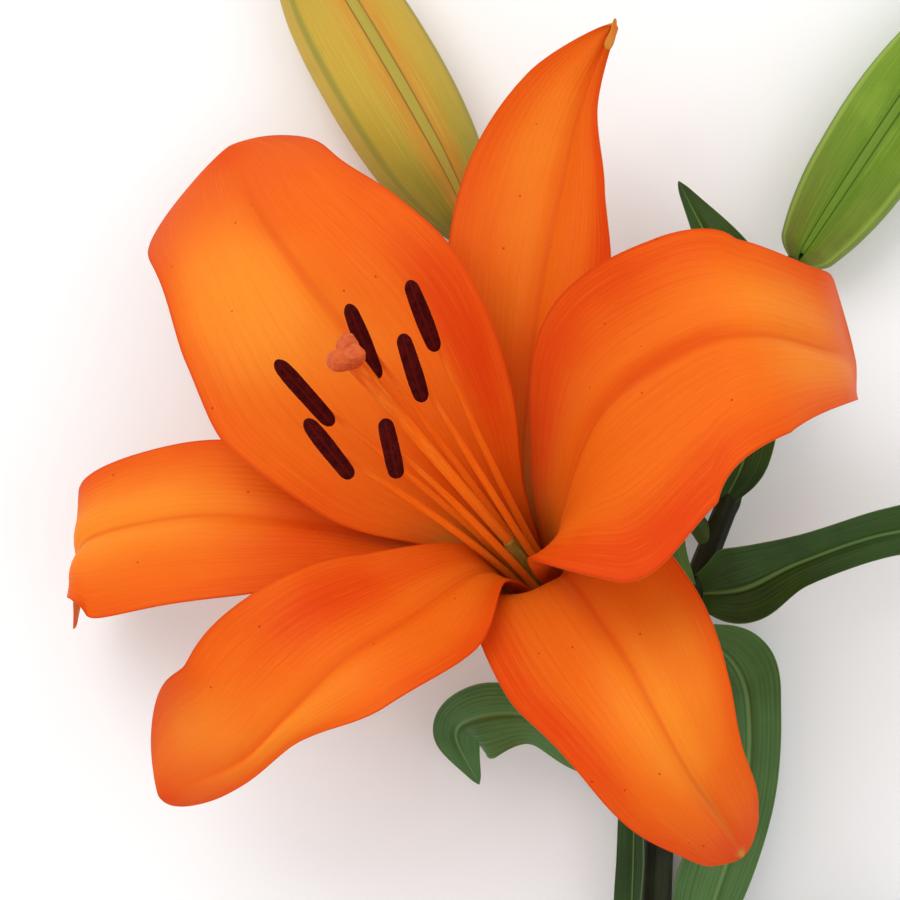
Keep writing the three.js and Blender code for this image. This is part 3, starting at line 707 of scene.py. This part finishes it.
pistil = {
    "ovaryHeight": 20,
    "ovaryRadius": 1.9,
    "ovaryLean": 0.6,
    "ribs": 0.12,              # depth of the six grooves down the ovary, as a share of its radius
    "styleRadius": 1.0,
    "styleBow": -1.6,
    "styleEnd": 2.0,           # below the stigma's middle
    "stigmaCentre": np.array([15.4, 3.7, 82.8]),
    "stigmaRadius": 3.5,
    "lobes": 0.24,             # how far the three lobes stand out, as a share of the radius
    "dimple": 0.9,             # depth of the hollow in the top
    "lump": 0.18,              # height of the uneven lumps
    # the stigma's outline from the style over the rim to the middle of its top: radius share and level
    "radii": [0.42, 0.6, 0.86, 1, 1, 0.88, 0.6, 0.3, 0.02],
    "levels": [-3.0, -2.2, -1.2, 0, 1.1, 1.9, 2.2, 1.9, 1.6],
}


def ovaryFinish():
    s = Shades("ovary")
    lines = s.lengthwise(2.5, 6)
    colour = s.mix(s.rise(lines, 0.35, 0.7), (0.30, 0.30, 0.04), (0.48, 0.38, 0.07))
    s.bump(lines, 0.00015, 0.5)
    return s.finish(colour, s.scaled(lines, 0.15, 0.4), 0.15)


def stigmaFinish():
    s = Shades("stigma")
    grain = s.mottle(0.00055, 3)
    patch = s.mottle(0.003, 2)
    colour = s.mix(s.rise(patch, 0.35, 0.65), (0.50, 0.062, 0.010), (0.62, 0.110, 0.020))
    colour = s.over(colour, (0.72, 0.18, 0.05), 0.5, grain, 0.5, 0.72)
    colour = s.mix(s.rise(s.along, 0.25, 0.0), colour, (0.70, 0.12, 0.008))
    s.bump(grain, 0.0002, 0.8)
    return s.finish(colour, s.scaled(grain, 0.2, 0.38), 0.15, 0.15, (0.003, 0.001, 0.0005))


# The ovary is a tube whose radius dips six times round as a high power of a cosine. The style is a tube on
# a straight line bowed by half a sine. The stigma is turned from its outline: the cosine of three times the
# angle swells it into lobes, its top dips between them, and two crossing sines make it lumpy.
def makePistil():
    height = pistil["ovaryHeight"]
    path = np.array([[pistil["ovaryLean"] * s, 0, height * s] for s in (-0.04, 0.35, 0.7, 1.03)])
    solid = tube(path, [pistil["ovaryRadius"] * s for s in (0.8, 1, 1, 0.55)], sideways, 40, 36,
                 lambda t, angle: 1 - pistil["ribs"] * np.abs(np.cos(3 * angle)) ** 6)
    makePiece("ovary", solid, ovaryFinish(), fromFlower)

    centre = pistil["stigmaCentre"]
    foot = np.array([0.7, 0, height])
    along = unit(centre - foot)
    top = centre - along * pistil["styleEnd"]
    share = np.linspace(0, 1, 7)
    path = foot + (top - foot) * share[:, None]
    path[:, 0] += pistil["styleBow"] * np.sin(np.pi * share)
    radii = [pistil["styleRadius"] * s for s in (1, 1.04, 1.1, 1.18, 1.26, 1.4, 1.8)]
    solid = tube(path, radii, sideways, 60, 24,
                 lambda t, angle: 1 + 0.07 * rise(0.6, 1, t) * np.cos(3 * angle))
    makePiece("style", solid, filamentMaterial, fromFlower)

    across = unit(np.array([0, 1, 0]) - along[1] * along)
    other = np.cross(along, across)
    t = np.linspace(0, 1, 41)[:, None]
    angle = np.linspace(0, 2 * np.pi, 72, endpoint=False)[None]
    radius = smoothRun(pistil["radii"], t[:, 0])[:, None] * pistil["stigmaRadius"]
    level = smoothRun(pistil["levels"], t[:, 0])[:, None]
    lobe = np.cos(3 * angle)
    radius = radius * (1 + pistil["lobes"] * lobe * bell(t, 0.5, 0.35))
    level = level - pistil["dimple"] * np.clip(-lobe, 0, 1) ** 2 * bell(t, 0.68, 0.18)
    radius = radius + pistil["lump"] * np.sin(7 * angle + 11 * t) * np.sin(17 * t) * bell(t, 0.55, 0.3)
    rings = centre + roundAxis(radius, angle, level) @ np.stack([across, other, along])
    solid = closedRound(rings, marks(np.cos(angle), t, np.sin(angle), radius.shape))
    makePiece("stigma", solid, stigmaFinish(), fromFlower)


makePistil()
print("pistil made")


stem = {
    "radius": 4.0,           # at the cut end
    "cut": -300.0,           # y of the cut
    "fork": -8.0,            # y where the right-hand bud stalk goes on
    "stalk": 1.95,           # radius of a stalk
    "ridges": 9,
    "ridgeHeight": 0.035,    # as a share of the radius, like the two below
    "stalkRidge": 0.03,
    "knot": 0.1,             # swelling where a leaf joins
}


# From the cut up to the fork: x, y, height of the middle and the radius as a share of the cut end's.
def stemStations():
    cut, radius = stem["cut"], stem["radius"]
    upper = -100
    return np.array([
        [43, cut, radius, 1], [42, cut + (upper - cut) * 0.33, radius, 0.98],
        [42.5, cut + (upper - cut) * 0.67, radius, 0.92], [43.6, upper, radius * 1.05, 0.84],
        [45.6, -68, radius * 1.3, 0.78], [50, -36, radius * 1.6, 0.7],
        [60, stem["fork"], radius * 1.85, 0.58]])


stemPath = stemStations()[:, :3]
stemRadii = stemStations()[:, 3] * stem["radius"]


# The middle of the stem and its radius at a given y, found by halving.
def stemAt(y):
    low, high = 0.0, 1.0
    for _ in range(40):
        half = (low + high) / 2
        if smoothRun(stemPath, np.array([half]))[0, 1] < y:
            low = half
        else:
            high = half
    return smoothRun(stemPath, np.array([low]))[0], float(smoothRun(stemRadii, np.array([low]))[0])


stemLook = {
    "lines": (6, 60, 4), "roughness": (0.25, 0.34), "relief": 0.0002, "blotches": 0.012, "specular": 0.14,
    "dark": (0.009, 0.010, 0.005), "light": (0.022, 0.028, 0.010),
    "line": (0.040, 0.020, 0.012), "lineStrength": 0.5,
    "cut": (0.20, 0.26, 0.09),       # the pale flesh of the cut end
}
stalkLook = {
    "lines": (5, 14, 3), "roughness": (0.2, 0.36), "relief": 0.00015, "blotches": 0.008, "specular": 0.15,
    "dark": (0.028, 0.062, 0.014), "light": (0.060, 0.110, 0.022),
    "line": (0.10, 0.05, 0.022), "lineStrength": 0.35,
}


# Blotches of two colours under fine lines that run lengthwise.
def stalkFinish(name, look):
    s = Shades(name)
    lines = s.lengthwise(*look["lines"])
    blotch = s.mottle(look["blotches"], 3)
    colour = s.mix(s.rise(blotch, 0.35, 0.65), look["dark"], look["light"])
    colour = s.over(colour, look["line"], look["lineStrength"], lines, 0.5, 0.75)
    if "cut" in look:
        colour = s.mix(s.rise(s.along, 0.006, 0.001), colour, look["cut"])
    s.bump(lines, look["relief"], 0.6)
    return s.finish(colour, s.scaled(lines, *look["roughness"]), look["specular"])


# Green like the stalk below, and dull orange-brown on the top that shows in the throat.
def receptacleFinish():
    s = Shades("receptacle")
    lines = s.lengthwise(5, 8, 3)
    blotch = s.mottle(0.004, 3)
    green = s.mix(s.rise(lines, 0.35, 0.65), (0.030, 0.065, 0.014), (0.075, 0.115, 0.022))
    top = s.mix(s.rise(blotch, 0.35, 0.65), (0.20, 0.060, 0.006), (0.42, 0.140, 0.012))
    colour = s.mix(s.rise(s.along, 0.86, 0.96), green, top)
    s.bump(lines, 0.00012, 0.5)
    return s.finish(colour, s.scaled(lines, 0.2, 0.4), 0.12)


# Low ridges run the length of the stem, and it swells a little where each leaf joins.
def stemSwell(joints):
    def swell(t, angle):
        ridges = stem["ridgeHeight"] * np.cos(stem["ridges"] * angle + 3 * t)
        knots = sum(stem["knot"] * bell(t, joint, 0.008) for joint in joints)
        return 1 + ridges + knots
    return swell


buds = {
    "left": {
        "base": np.array([5.5, 44.0, 12.5]), "heading": 120.2, "turn": 132, "radius": 12.5,
        "profile": [0.26, 0.62, 0.86, 0.96, 1, 1, 0.97, 0.88, 0.66, 0.2],
    },
    "right": {
        "base": np.array([73.3, 39.5, 10.625]), "heading": 56, "turn": 112, "radius": 10.625,
        "profile": [0.48, 0.74, 0.9, 0.97, 1, 0.97, 0.87, 0.71, 0.48, 0.15],
    },
}

stemMaterial = stalkFinish("stem", stemLook)
stalkMaterial = stalkFinish("flower stalk", stalkLook)


def makeStem(leafHeights):
    t = np.linspace(0, 1, 400)
    joints = np.interp(leafHeights, smoothRun(stemPath, t)[:, 1], t)
    makePiece("stem", tube(stemPath, stemRadii, upward, 420, 48, stemSwell(joints)), stemMaterial)


def makeStalk(node, path, shares):
    radii = [stem["stalk"] * share for share in shares]
    solid = tube(np.array(path), radii, upward, 70, 28,
                 lambda t, angle: 1 + stem["stalkRidge"] * np.cos(6 * angle + 2 * t))
    makePiece(node, solid, stalkMaterial)


# y on the stem where each stalk starts, the bends on its way and its radii as shares of a stalk's.
stalks = {
    "right_bud_stalk": {"shares": (1.17, 1.0, 1.0, 1.3)},
    "left_bud_stalk": {"y": -20, "bends": [(37, 6, 8.5), (18, 26, 10)], "shares": (1.15, 1, 1, 1, 1.35)},
    "flower_stalk": {"y": -62, "bends": [(35, -50, 8.5), (27, -41.5, 11.5)],
                     "shares": (1.25, 1.05, 1, 1.1, 1.35)},
    "into": 1.5,             # how far a bud's stalk runs into the bud
    "below": 6.5,            # where the flower's stalk ends, below the flower's base
}


# The right-hand stalk runs on from the end of the stem, the others start inside it, and each comes straight
# into the foot of its bud or flower.
def makeStalks():
    fork, _ = stemAt(stem["fork"])
    forkWay = alongPath(stemPath, np.array([1.0]))[1][0]
    rightWay, leftWay = turned(buds["right"]["heading"]), turned(buds["left"]["heading"])
    rightEnd, leftEnd = buds["right"]["base"], buds["left"]["base"]
    axis = flowerWays[2]
    flowerEnd = flowerFrame["base"] - axis * stalks["below"]
    ends = {
        "right_bud_stalk": [rightEnd - rightWay * 14, rightEnd + rightWay * stalks["into"]],
        "left_bud_stalk": [leftEnd - leftWay * 8, leftEnd + leftWay * stalks["into"]],
        "flower_stalk": [flowerEnd - axis * 4 + np.array([0.4, -0.6, 0]), flowerEnd],
    }
    for node, end in ends.items():
        stalk = stalks[node]
        if "y" in stalk:
            start = [stemAt(stalk["y"])[0], *stalk["bends"]]
        else:
            start = [fork - forkWay * stalks["into"], fork + forkWay * 16]
        makeStalk(node, start + end, stalk["shares"])


# The receptacle swells from the stalk to the ring that the petals stand on, with six low lobes.
receptacle = {"levels": [-8.0, -4.5, -1.5, -0.2], "radii": [2.4, 4.2, 6.0, 6.6], "lobes": 0.05}


def makeReceptacle():
    path = np.array(receptacle["levels"])[:, None] * upward
    solid = tube(path, receptacle["radii"], sideways, 30, 48,
                 lambda t, angle: 1 + receptacle["lobes"] * rise(0.2, 0.8, t) * np.cos(6 * angle))
    makePiece("receptacle", solid, receptacleFinish(), fromFlower)


leafShape = {
    "width": 18.0,
    "clear": 1.25,           # between the stem and the first step of a leaf
    "thickness": 0.7,
    "rimShare": 0.35,
    "ribDepth": 0.75,        # the midrib is sunk in the upper face and stands out below
    "ribWidth": 0.9,
    "veinCount": 7,          # each side of the midrib
    "veinHeight": 0.03,
    "rows": 110,
    "columns": 84,
    "tipFrom": 0.97,
    "tipPower": 2,
}

# y of the joint on the stem, then steps from it, and at each the width as a share of the full width (one
# number, or one for each half), the fold of the halves and the roll.
leaves = {
    "leaf_right": {
        "y": -30, "wave": 0.4,
        "steps": [[2, -1, 4], [9, 1.5, 10], [20, 7, 15], [38, 13, 16], [57, 14.5, 14], [73, 10, 7]],
        "width": [(0.35, 0.45), (0.8, 1.15), (0.55, 0.75), (0.5, 0.68), (0.55, 0.62), 0.1],
        "fold": [40, 40, 35, 30, 25, 20], "roll": [-10, 0, 10, 10, 0, 0],
    },
    "leaf_drooping": {
        "y": -38, "wave": 0.4, "look": "leaf with painted light",
        "steps": [[4, -1, 0], [9, -7, 2], [12, -17, 4], [11, -36, 4], [5, -57, 1], [-2, -78, -2]],
        "width": [0.25, (0.7, 0.9), (0.95, 0.75), (0.92, 0.68), (1.0, 0.6), 0.1],
        "fold": [15, 15, 12, 12, 10, 10],
    },
    "leaf_rising": {
        "y": -116, "wave": 0.2,
        "steps": [[-4, 1, 3], [-4.5, 14, 6.5], [-4.5, 30, 8.5], [-4, 46, 10.5], [-2, 60, 12]],
        "width": [0.22, 0.42, (0.48, 0.38), (0.38, 0.34), 0.08],
        "fold": [30, 30, 30, 25, 20], "roll": [-20, -45, -45, -45, -45],
    },
    "leaf_curled": {
        "y": -74, "wave": 0.5, "look": "leaf with painted light",
        "steps": [[-4, 2, 3], [-16, 12, 9], [-27, 18.4, 15], [-37.7, 18.6, 16], [-43.4, 14.2, 10],
                  [-38.4, 3, 2]],
        "width": [0.25, 0.65, (0.6, 0.65), (0.75, 1.0), (0.52, 0.7), 0.05],
        "fold": [15, 15, 10, 5, 5, 5],
    },
    "leaf_behind": {
        "y": -31, "wave": 0.2, "look": "young leaf",
        "steps": [[-3, 1, 4], [-6, 10, 7], [-8, 24, 8], [-8, 37, 8]],
        "width": [0.25, 0.5, 0.5, 0.08],
        "fold": [30, 30, 25, 20],
    },
    "leaf_bract": {
        "y": -11, "wave": 0.2,
        "steps": [[-2, 1, 4], [3, 10, 8], [4, 27, 10], [-1, 46, 11], [-11, 67, 9]],
        "width": [0.22, 0.6, 0.72, (0.95, 0.5), 0.06],
        "fold": [30, 30, 25, 25, 20],
    },
}

# Lower down the leaves come off to either side by turns and droop until their tips touch the ground:
# size, how far the tip goes towards the flower as a share of its reach, and the height of the arch. tip is
# the height of the tips above the ground.
lowLeaves = {
    "firstY": -128, "spacing": 20, "tip": 1.17,
    "reach": [4, 17, 35, 54, 72], "sweep": [0, 6, 9, 8, -1],
    "each": [(1, 0.1, 12), (1.04, -0.12, 14), (0.9, 0.28, 10), (0.96, 0.06, 13), (0.84, -0.1, 9),
             (0.76, 0.2, 8)],
}


def addLowLeaves():
    for i, (size, ahead, arch) in enumerate(lowLeaves["each"]):
        side = 1 if i % 2 == 0 else -1
        heights = [1.5, arch * 0.75, arch, arch * 0.65]
        heights = [height * size for height in heights] + [lowLeaves["tip"] - stem["radius"]]
        steps = [[side * x * size, (ahead * x + sweep) * size, height]
                 for x, sweep, height in zip(lowLeaves["reach"], lowLeaves["sweep"], heights)]
        leaves[f"leaf_low_{i + 1}"] = {
            "y": lowLeaves["firstY"] - lowLeaves["spacing"] * i, "wave": 0.35, "steps": steps,
            "width": [share * size for share in (0.25, 0.8, 1, 0.75, 0.08)],
            "fold": [30, 28, 22, 16, 8],
        }


leafLooks = {
    "leaf": {
        "dark": (0.012, 0.036, 0.004), "light": (0.034, 0.082, 0.011),
        "rib": (0.13, 0.22, 0.055), "under": (0.075, 0.13, 0.045),
    },
    # a lighter copy of the leaf's colours for the leaves that lie in more light: painted light
    "leaf with painted light": {
        "dark": (0.044, 0.108, 0.026), "light": (0.086, 0.185, 0.048),
        "rib": (0.16, 0.26, 0.080), "under": (0.085, 0.15, 0.055),
    },
    "young leaf": {
        "dark": (0.040, 0.095, 0.014), "light": (0.095, 0.18, 0.030),
        "rib": (0.17, 0.26, 0.07), "under": (0.12, 0.19, 0.06),
    },
}


def leafFinish(name, look):
    s = Shades(name)
    rib = look["rib"]
    distance = s.sums("ABSOLUTE", s.across)
    veins = s.streaks(26, 2.2, 2)
    fine = s.streaks(90, 5, 2)
    blotch = s.mottle(0.02, 3)
    body = s.blend(blotch, veins, 0.55)
    colour = s.mix(s.rise(body, 0.36, 0.64), look["dark"], look["light"])
    colour = s.over(colour, rib, 0.18, fine, 0.52, 0.75)
    colour = s.over(colour, rib, 0.85, distance, 0.09, 0.0)
    colour = s.over(colour, rib, 0.5, distance, 0.96, 1.0)
    colour = s.mix(s.rise(s.front, 0.6, 0.4), colour, s.mix(0.6, colour, look["under"]))
    s.bump(s.blend(veins, fine, 0.6), 0.0002, 0.5)
    return s.finish(colour, s.scaled(fine, 0.22, 0.28), 0.2)


# A leaf's midrib is a narrow valley; its veins are low ripples that follow the margins in to the tip.
def leafRelief(wave, start):
    def relief(t, v, half):
        distance = np.abs(v) * half
        fade = rise(0.0, 0.1, t) * (1 - rise(0.86, 0.99, t))
        rib = -leafShape["ribDepth"] * bell(distance, 0, leafShape["ribWidth"]) * fade
        veins = leafShape["veinHeight"] * np.cos(2 * np.pi * leafShape["veinCount"] * np.abs(v)) * fade
        margins = wave * np.sin(2 * np.pi * (2.4 * t + start + 0.3 * np.sign(v))) * np.abs(v) ** 2
        return rib + veins + margins * fade
    return relief


def makeLeaf(name, leaf, finish):
    centre, radius = stemAt(leaf["y"])
    steps = np.array(leaf["steps"], float)
    away = unit(steps[0])
    gap = radius + leafShape["clear"] + 0.35 * np.mean(leaf["width"][0]) * leafShape["width"]
    path = steps + (centre + away * gap - steps[0])
    path[0] = centre + away * radius * 0.75
    halves = pairs(leaf["width"]) * leafShape["width"] / 2
    shape = {**leafShape, **leaf, "half": halves, "cup": leaf["fold"]}
    relief = leafRelief(leaf["wave"], 0.17 * len(name))
    solid = blade(path, lambda ahead: np.cross(upward, ahead), shape, relief)
    makePiece(name, solid, finish)


addLowLeaves()
makeStem([leaf["y"] for leaf in leaves.values()])
makeStalks()
makeReceptacle()
print("stem and stalks made")

leafMaterials = {name: leafFinish(name, look) for name, look in leafLooks.items()}
for leafName, leaf in leaves.items():
    look = leaf.get("look", "leaf")
    makeLeaf(leafName, leaf, leafMaterials[look])
print("leaves made:", len(leaves))


budShape = {
    "length": 78.0,
    "droop": 1.2,            # degrees that the tip points below level
    "halfAngle": 55.0,       # each outer segment reaches this far round from its middle
    "wall": 0.9,
    "keel": 0.028,           # height of the narrow keel, as a share of the radius
    "keelWidth": 0.15,
    "belly": 0.03,           # height of the broad rounding of a segment
    "turnedIn": 0.035,       # depth that its rims turn in
    "veinCount": 9,
    "veinHeight": 0.004,
    "tipFrom": 0.93,         # where the tip starts to round off
    "footTo": 0.045,         # where the foot's rounding ends
    "footDepth": 0.85,
    "rows": 120,
    "columns": 72,
}


def fromBud(bud, points):
    return bud["base"] + points @ leaningWays(bud["heading"], 90 + budShape["droop"])


# The bud's radius: the profile, rounded off at the tip and at the foot as a quarter of an ellipse.
def budRadius(bud, t):
    nearTip = np.clip((t - budShape["tipFrom"]) / (1 - budShape["tipFrom"]), 0, 1)
    nearFoot = np.clip(1 - t / budShape["footTo"], 0, 1)
    ends = np.sqrt(np.maximum(1 - nearTip**2, 0.0009)) * np.sqrt(1 - budShape["footDepth"] * nearFoot**2)
    return smoothRun(bud["profile"], t) * bud["radius"] * ends


# A segment is part of the bud's round, raised by a broad rounding, a narrow keel down its middle and fine
# ripples, with its rim turned in; its wall lies behind it.
def makeBudSegment(node, bud, middle, finish):
    u = np.linspace(0, 1, budShape["rows"] + 1)
    t = (0.5 - 0.5 * np.cos(np.pi * u))[:, None]
    share = np.linspace(-1, 1, budShape["columns"] + 1)[None]
    angle = np.radians(middle + share * budShape["halfAngle"])
    skinRadius = budRadius(bud, t[:, 0])[:, None]
    mid = bell(t, 0.5, 0.42)
    keel = budShape["keel"] * bell(share, 0, budShape["keelWidth"]) * mid
    raised = budShape["belly"] * (1 - share**2) + keel
    ripple = budShape["veinHeight"] * np.cos(2 * np.pi * budShape["veinCount"] * np.abs(share))
    turnedIn = budShape["turnedIn"] * rise(0.86, 1, np.abs(share))
    radius = skinRadius * (1 + raised + ripple * mid - turnedIn)
    wall = np.minimum(budShape["wall"], skinRadius * 0.4) * (0.35 + 0.65 * np.sqrt(1 - share**2))
    level = t * budShape["length"]
    solid = closedSheet(roundAxis(radius, angle, level), roundAxis(radius - wall, angle, level), share, t)
    makePiece(node, solid, finish, lambda points: fromBud(bud, points))


budCore = {
    "radius": 0.955,             # share of the bud's radius
    "clear": 0.25,               # room under the segments
    "least": 0.2,                # radius at the very tip
    "ridge": (3.0, 9.0),         # degrees from a gap's middle where its ridge starts to fall, and ends
    "ridgeHeight": 0.03, "crest": 0.012, "crestWidth": 1.8,
}


# The core lies just under the segments and swells into a low rounded ridge in each gap between them. Its
# across goes from -1 at a gap's middle to -2 under the middle of a segment.
def makeBudCore(node, bud, finish):
    t = np.linspace(0.02, 0.985, 90)[:, None]
    angle = np.linspace(0, 360, 180, endpoint=False)[None]
    fromGap = np.abs((angle - bud["turn"]) % 120 - 60)
    skinRadius = budRadius(bud, t[:, 0])[:, None]
    ridge = 1 - rise(*budCore["ridge"], fromGap)
    crest = budCore["crest"] * bell(fromGap, 0, budCore["crestWidth"])
    radius = skinRadius * (budCore["radius"] + budCore["ridgeHeight"] * ridge + crest)
    radius = np.maximum(radius - budCore["clear"] * (1 - ridge), budCore["least"])
    rings = roundAxis(radius, np.radians(angle), t * budShape["length"])
    solid = closedRound(rings, marks(-1 - fromGap / 60, t, 1.0, radius.shape))
    makePiece(node, solid, finish, lambda points: fromBud(bud, points))


leftBudColours = {
    "length": [(0.0, (0.10, 0.11, 0.02)), (0.12, (0.26, 0.26, 0.03)), (0.35, (0.48, 0.35, 0.04)),
               (0.6, (0.58, 0.36, 0.042)), (0.85, (0.48, 0.34, 0.042)), (1.0, (0.18, 0.16, 0.03))],
    "margin": (0.58, 0.24, 0.03),
    "keel": (0.24, 0.24, 0.04),
    "line": (0.30, 0.13, 0.025),
    "strip": (0.36, 0.30, 0.045),
    "pale": (0.58, 0.44, 0.08),
}
rightBudColours = {
    "length": [(0.0, (0.15, 0.15, 0.023)), (0.12, (0.13, 0.19, 0.02)), (0.4, (0.14, 0.25, 0.015)),
               (0.7, (0.17, 0.29, 0.018)), (1.0, (0.10, 0.16, 0.02))],
    "margin": (0.10, 0.20, 0.010),
    "keel": (0.30, 0.42, 0.05),
    "line": (0.035, 0.09, 0.008),
    "strip": (0.10, 0.20, 0.013),
    "pale": (0.26, 0.38, 0.045),
}


def budFinish(name, colours):
    s = Shades(name)
    distance = s.sums("ABSOLUTE", s.across)
    veins = s.streaks(34, 4, 3)
    blotch = s.mottle(0.014, 3)
    colour = s.ramp(s.along, colours["length"])
    colour = s.over(colour, colours["margin"], 0.7, distance, 0.5, 0.92)
    colour = s.over(colour, colours["pale"], 0.4, veins, 0.45, 0.7)
    colour = s.over(colour, colours["keel"], 0.25, blotch, 0.5, 0.7)
    colour = s.over(colour, colours["keel"], 0.7, distance, 0.14, 0.02)
    colour = s.mix(s.rise(distance, 0.95, 0.995), colour, colours["line"])
    # the core's marks lie below -1: the strip in each gap
    colour = s.mix(s.rise(s.across, -1.0, -1.001), colour,
                   s.mix(s.times(veins, 0.5), colours["strip"], colours["pale"]))
    s.bump(veins, 0.00025, 0.55)
    return s.finish(colour, s.scaled(veins, 0.2, 0.38), 0.12, 0.08, (0.002, 0.002, 0.0005))


for sideName, colours in (("left", leftBudColours), ("right", rightBudColours)):
    budMaterial = budFinish(sideName + " bud", colours)
    for k in range(3):
        makeBudSegment(f"{sideName}_bud_segment_{k + 1}", buds[sideName], buds[sideName]["turn"] + 120 * k,
                       budMaterial)
    makeBudCore(f"{sideName}_bud_core", buds[sideName], budMaterial)
print("buds made")


studio = {
    "floorColour": (0.95, 0.95, 0.95),
    "floorSize": 3.0,            # metres from the middle to an edge
    "sky": 0.85,
    # places from the flower's middle in metres, size and power
    "softboxes": {"key": ((-0.45, 0.55, 0.95), 0.7, 5.0), "fill": ((0.7, -0.2, 0.8), 0.8, 1.2)},
}


def makeFloor():
    size = studio["floorSize"]
    corners = [(-size, -size, 0), (size, -size, 0), (size, size, 0), (-size, size, 0)]
    mesh = bpy.data.meshes.new("floor")
    mesh.from_pydata(corners, [], [(0, 1, 2, 3)])
    floor = bpy.data.objects.new("floor", mesh)
    bpy.context.scene.collection.objects.link(floor)
    paper = bpy.data.materials.new("pale paper")
    paper.use_nodes = True
    shader = paper.node_tree.nodes["Principled BSDF"]
    shader.inputs["Base Color"].default_value = (*studio["floorColour"], 1)
    shader.inputs["Roughness"].default_value = 0.9
    shader.inputs["Specular IOR Level"].default_value = 0.1
    mesh.materials.append(paper)


def softbox(name, place, aim, size, power):
    light = bpy.data.lights.new(name, "AREA")
    light.shape = "SQUARE"
    light.size = size
    light.energy = power
    lamp = bpy.data.objects.new(name, light)
    lamp.location = place
    lamp.rotation_euler = (Vector(aim) - Vector(place)).to_track_quat("-Z", "Y").to_euler()
    bpy.context.scene.collection.objects.link(lamp)


def makeLight():
    world = bpy.data.worlds.new("soft room")
    world.use_nodes = True
    background = world.node_tree.nodes["Background"]
    background.inputs["Color"].default_value = (1, 1, 1, 1)
    background.inputs["Strength"].default_value = studio["sky"]
    bpy.context.scene.world = world
    aim = (shift[0] * metre, shift[1] * metre, 0.04)
    for name, (place, size, power) in studio["softboxes"].items():
        softbox(name, (aim[0] + place[0], aim[1] + place[1], place[2]), aim, size, power)
    bpy.context.scene.view_settings.view_transform = "Standard"


# Straight down from over the flower, with +Y towards the top of the view.
view = {"height": 0.695, "lens": 130, "sensor": 36}


def makeCamera():
    lens = bpy.data.cameras.new("camera")
    lens.lens = view["lens"]
    lens.sensor_width = view["sensor"]
    lens.clip_start = 0.01
    camera = bpy.data.objects.new("camera", lens)
    camera.location = (shift[0] * metre, shift[1] * metre, view["height"] + shift[2] * metre)
    bpy.context.scene.collection.objects.link(camera)
    bpy.context.scene.camera = camera


makeFloor()
makeLight()
makeCamera()
print("floor, light and camera set")

bpy.context.view_layer.update()
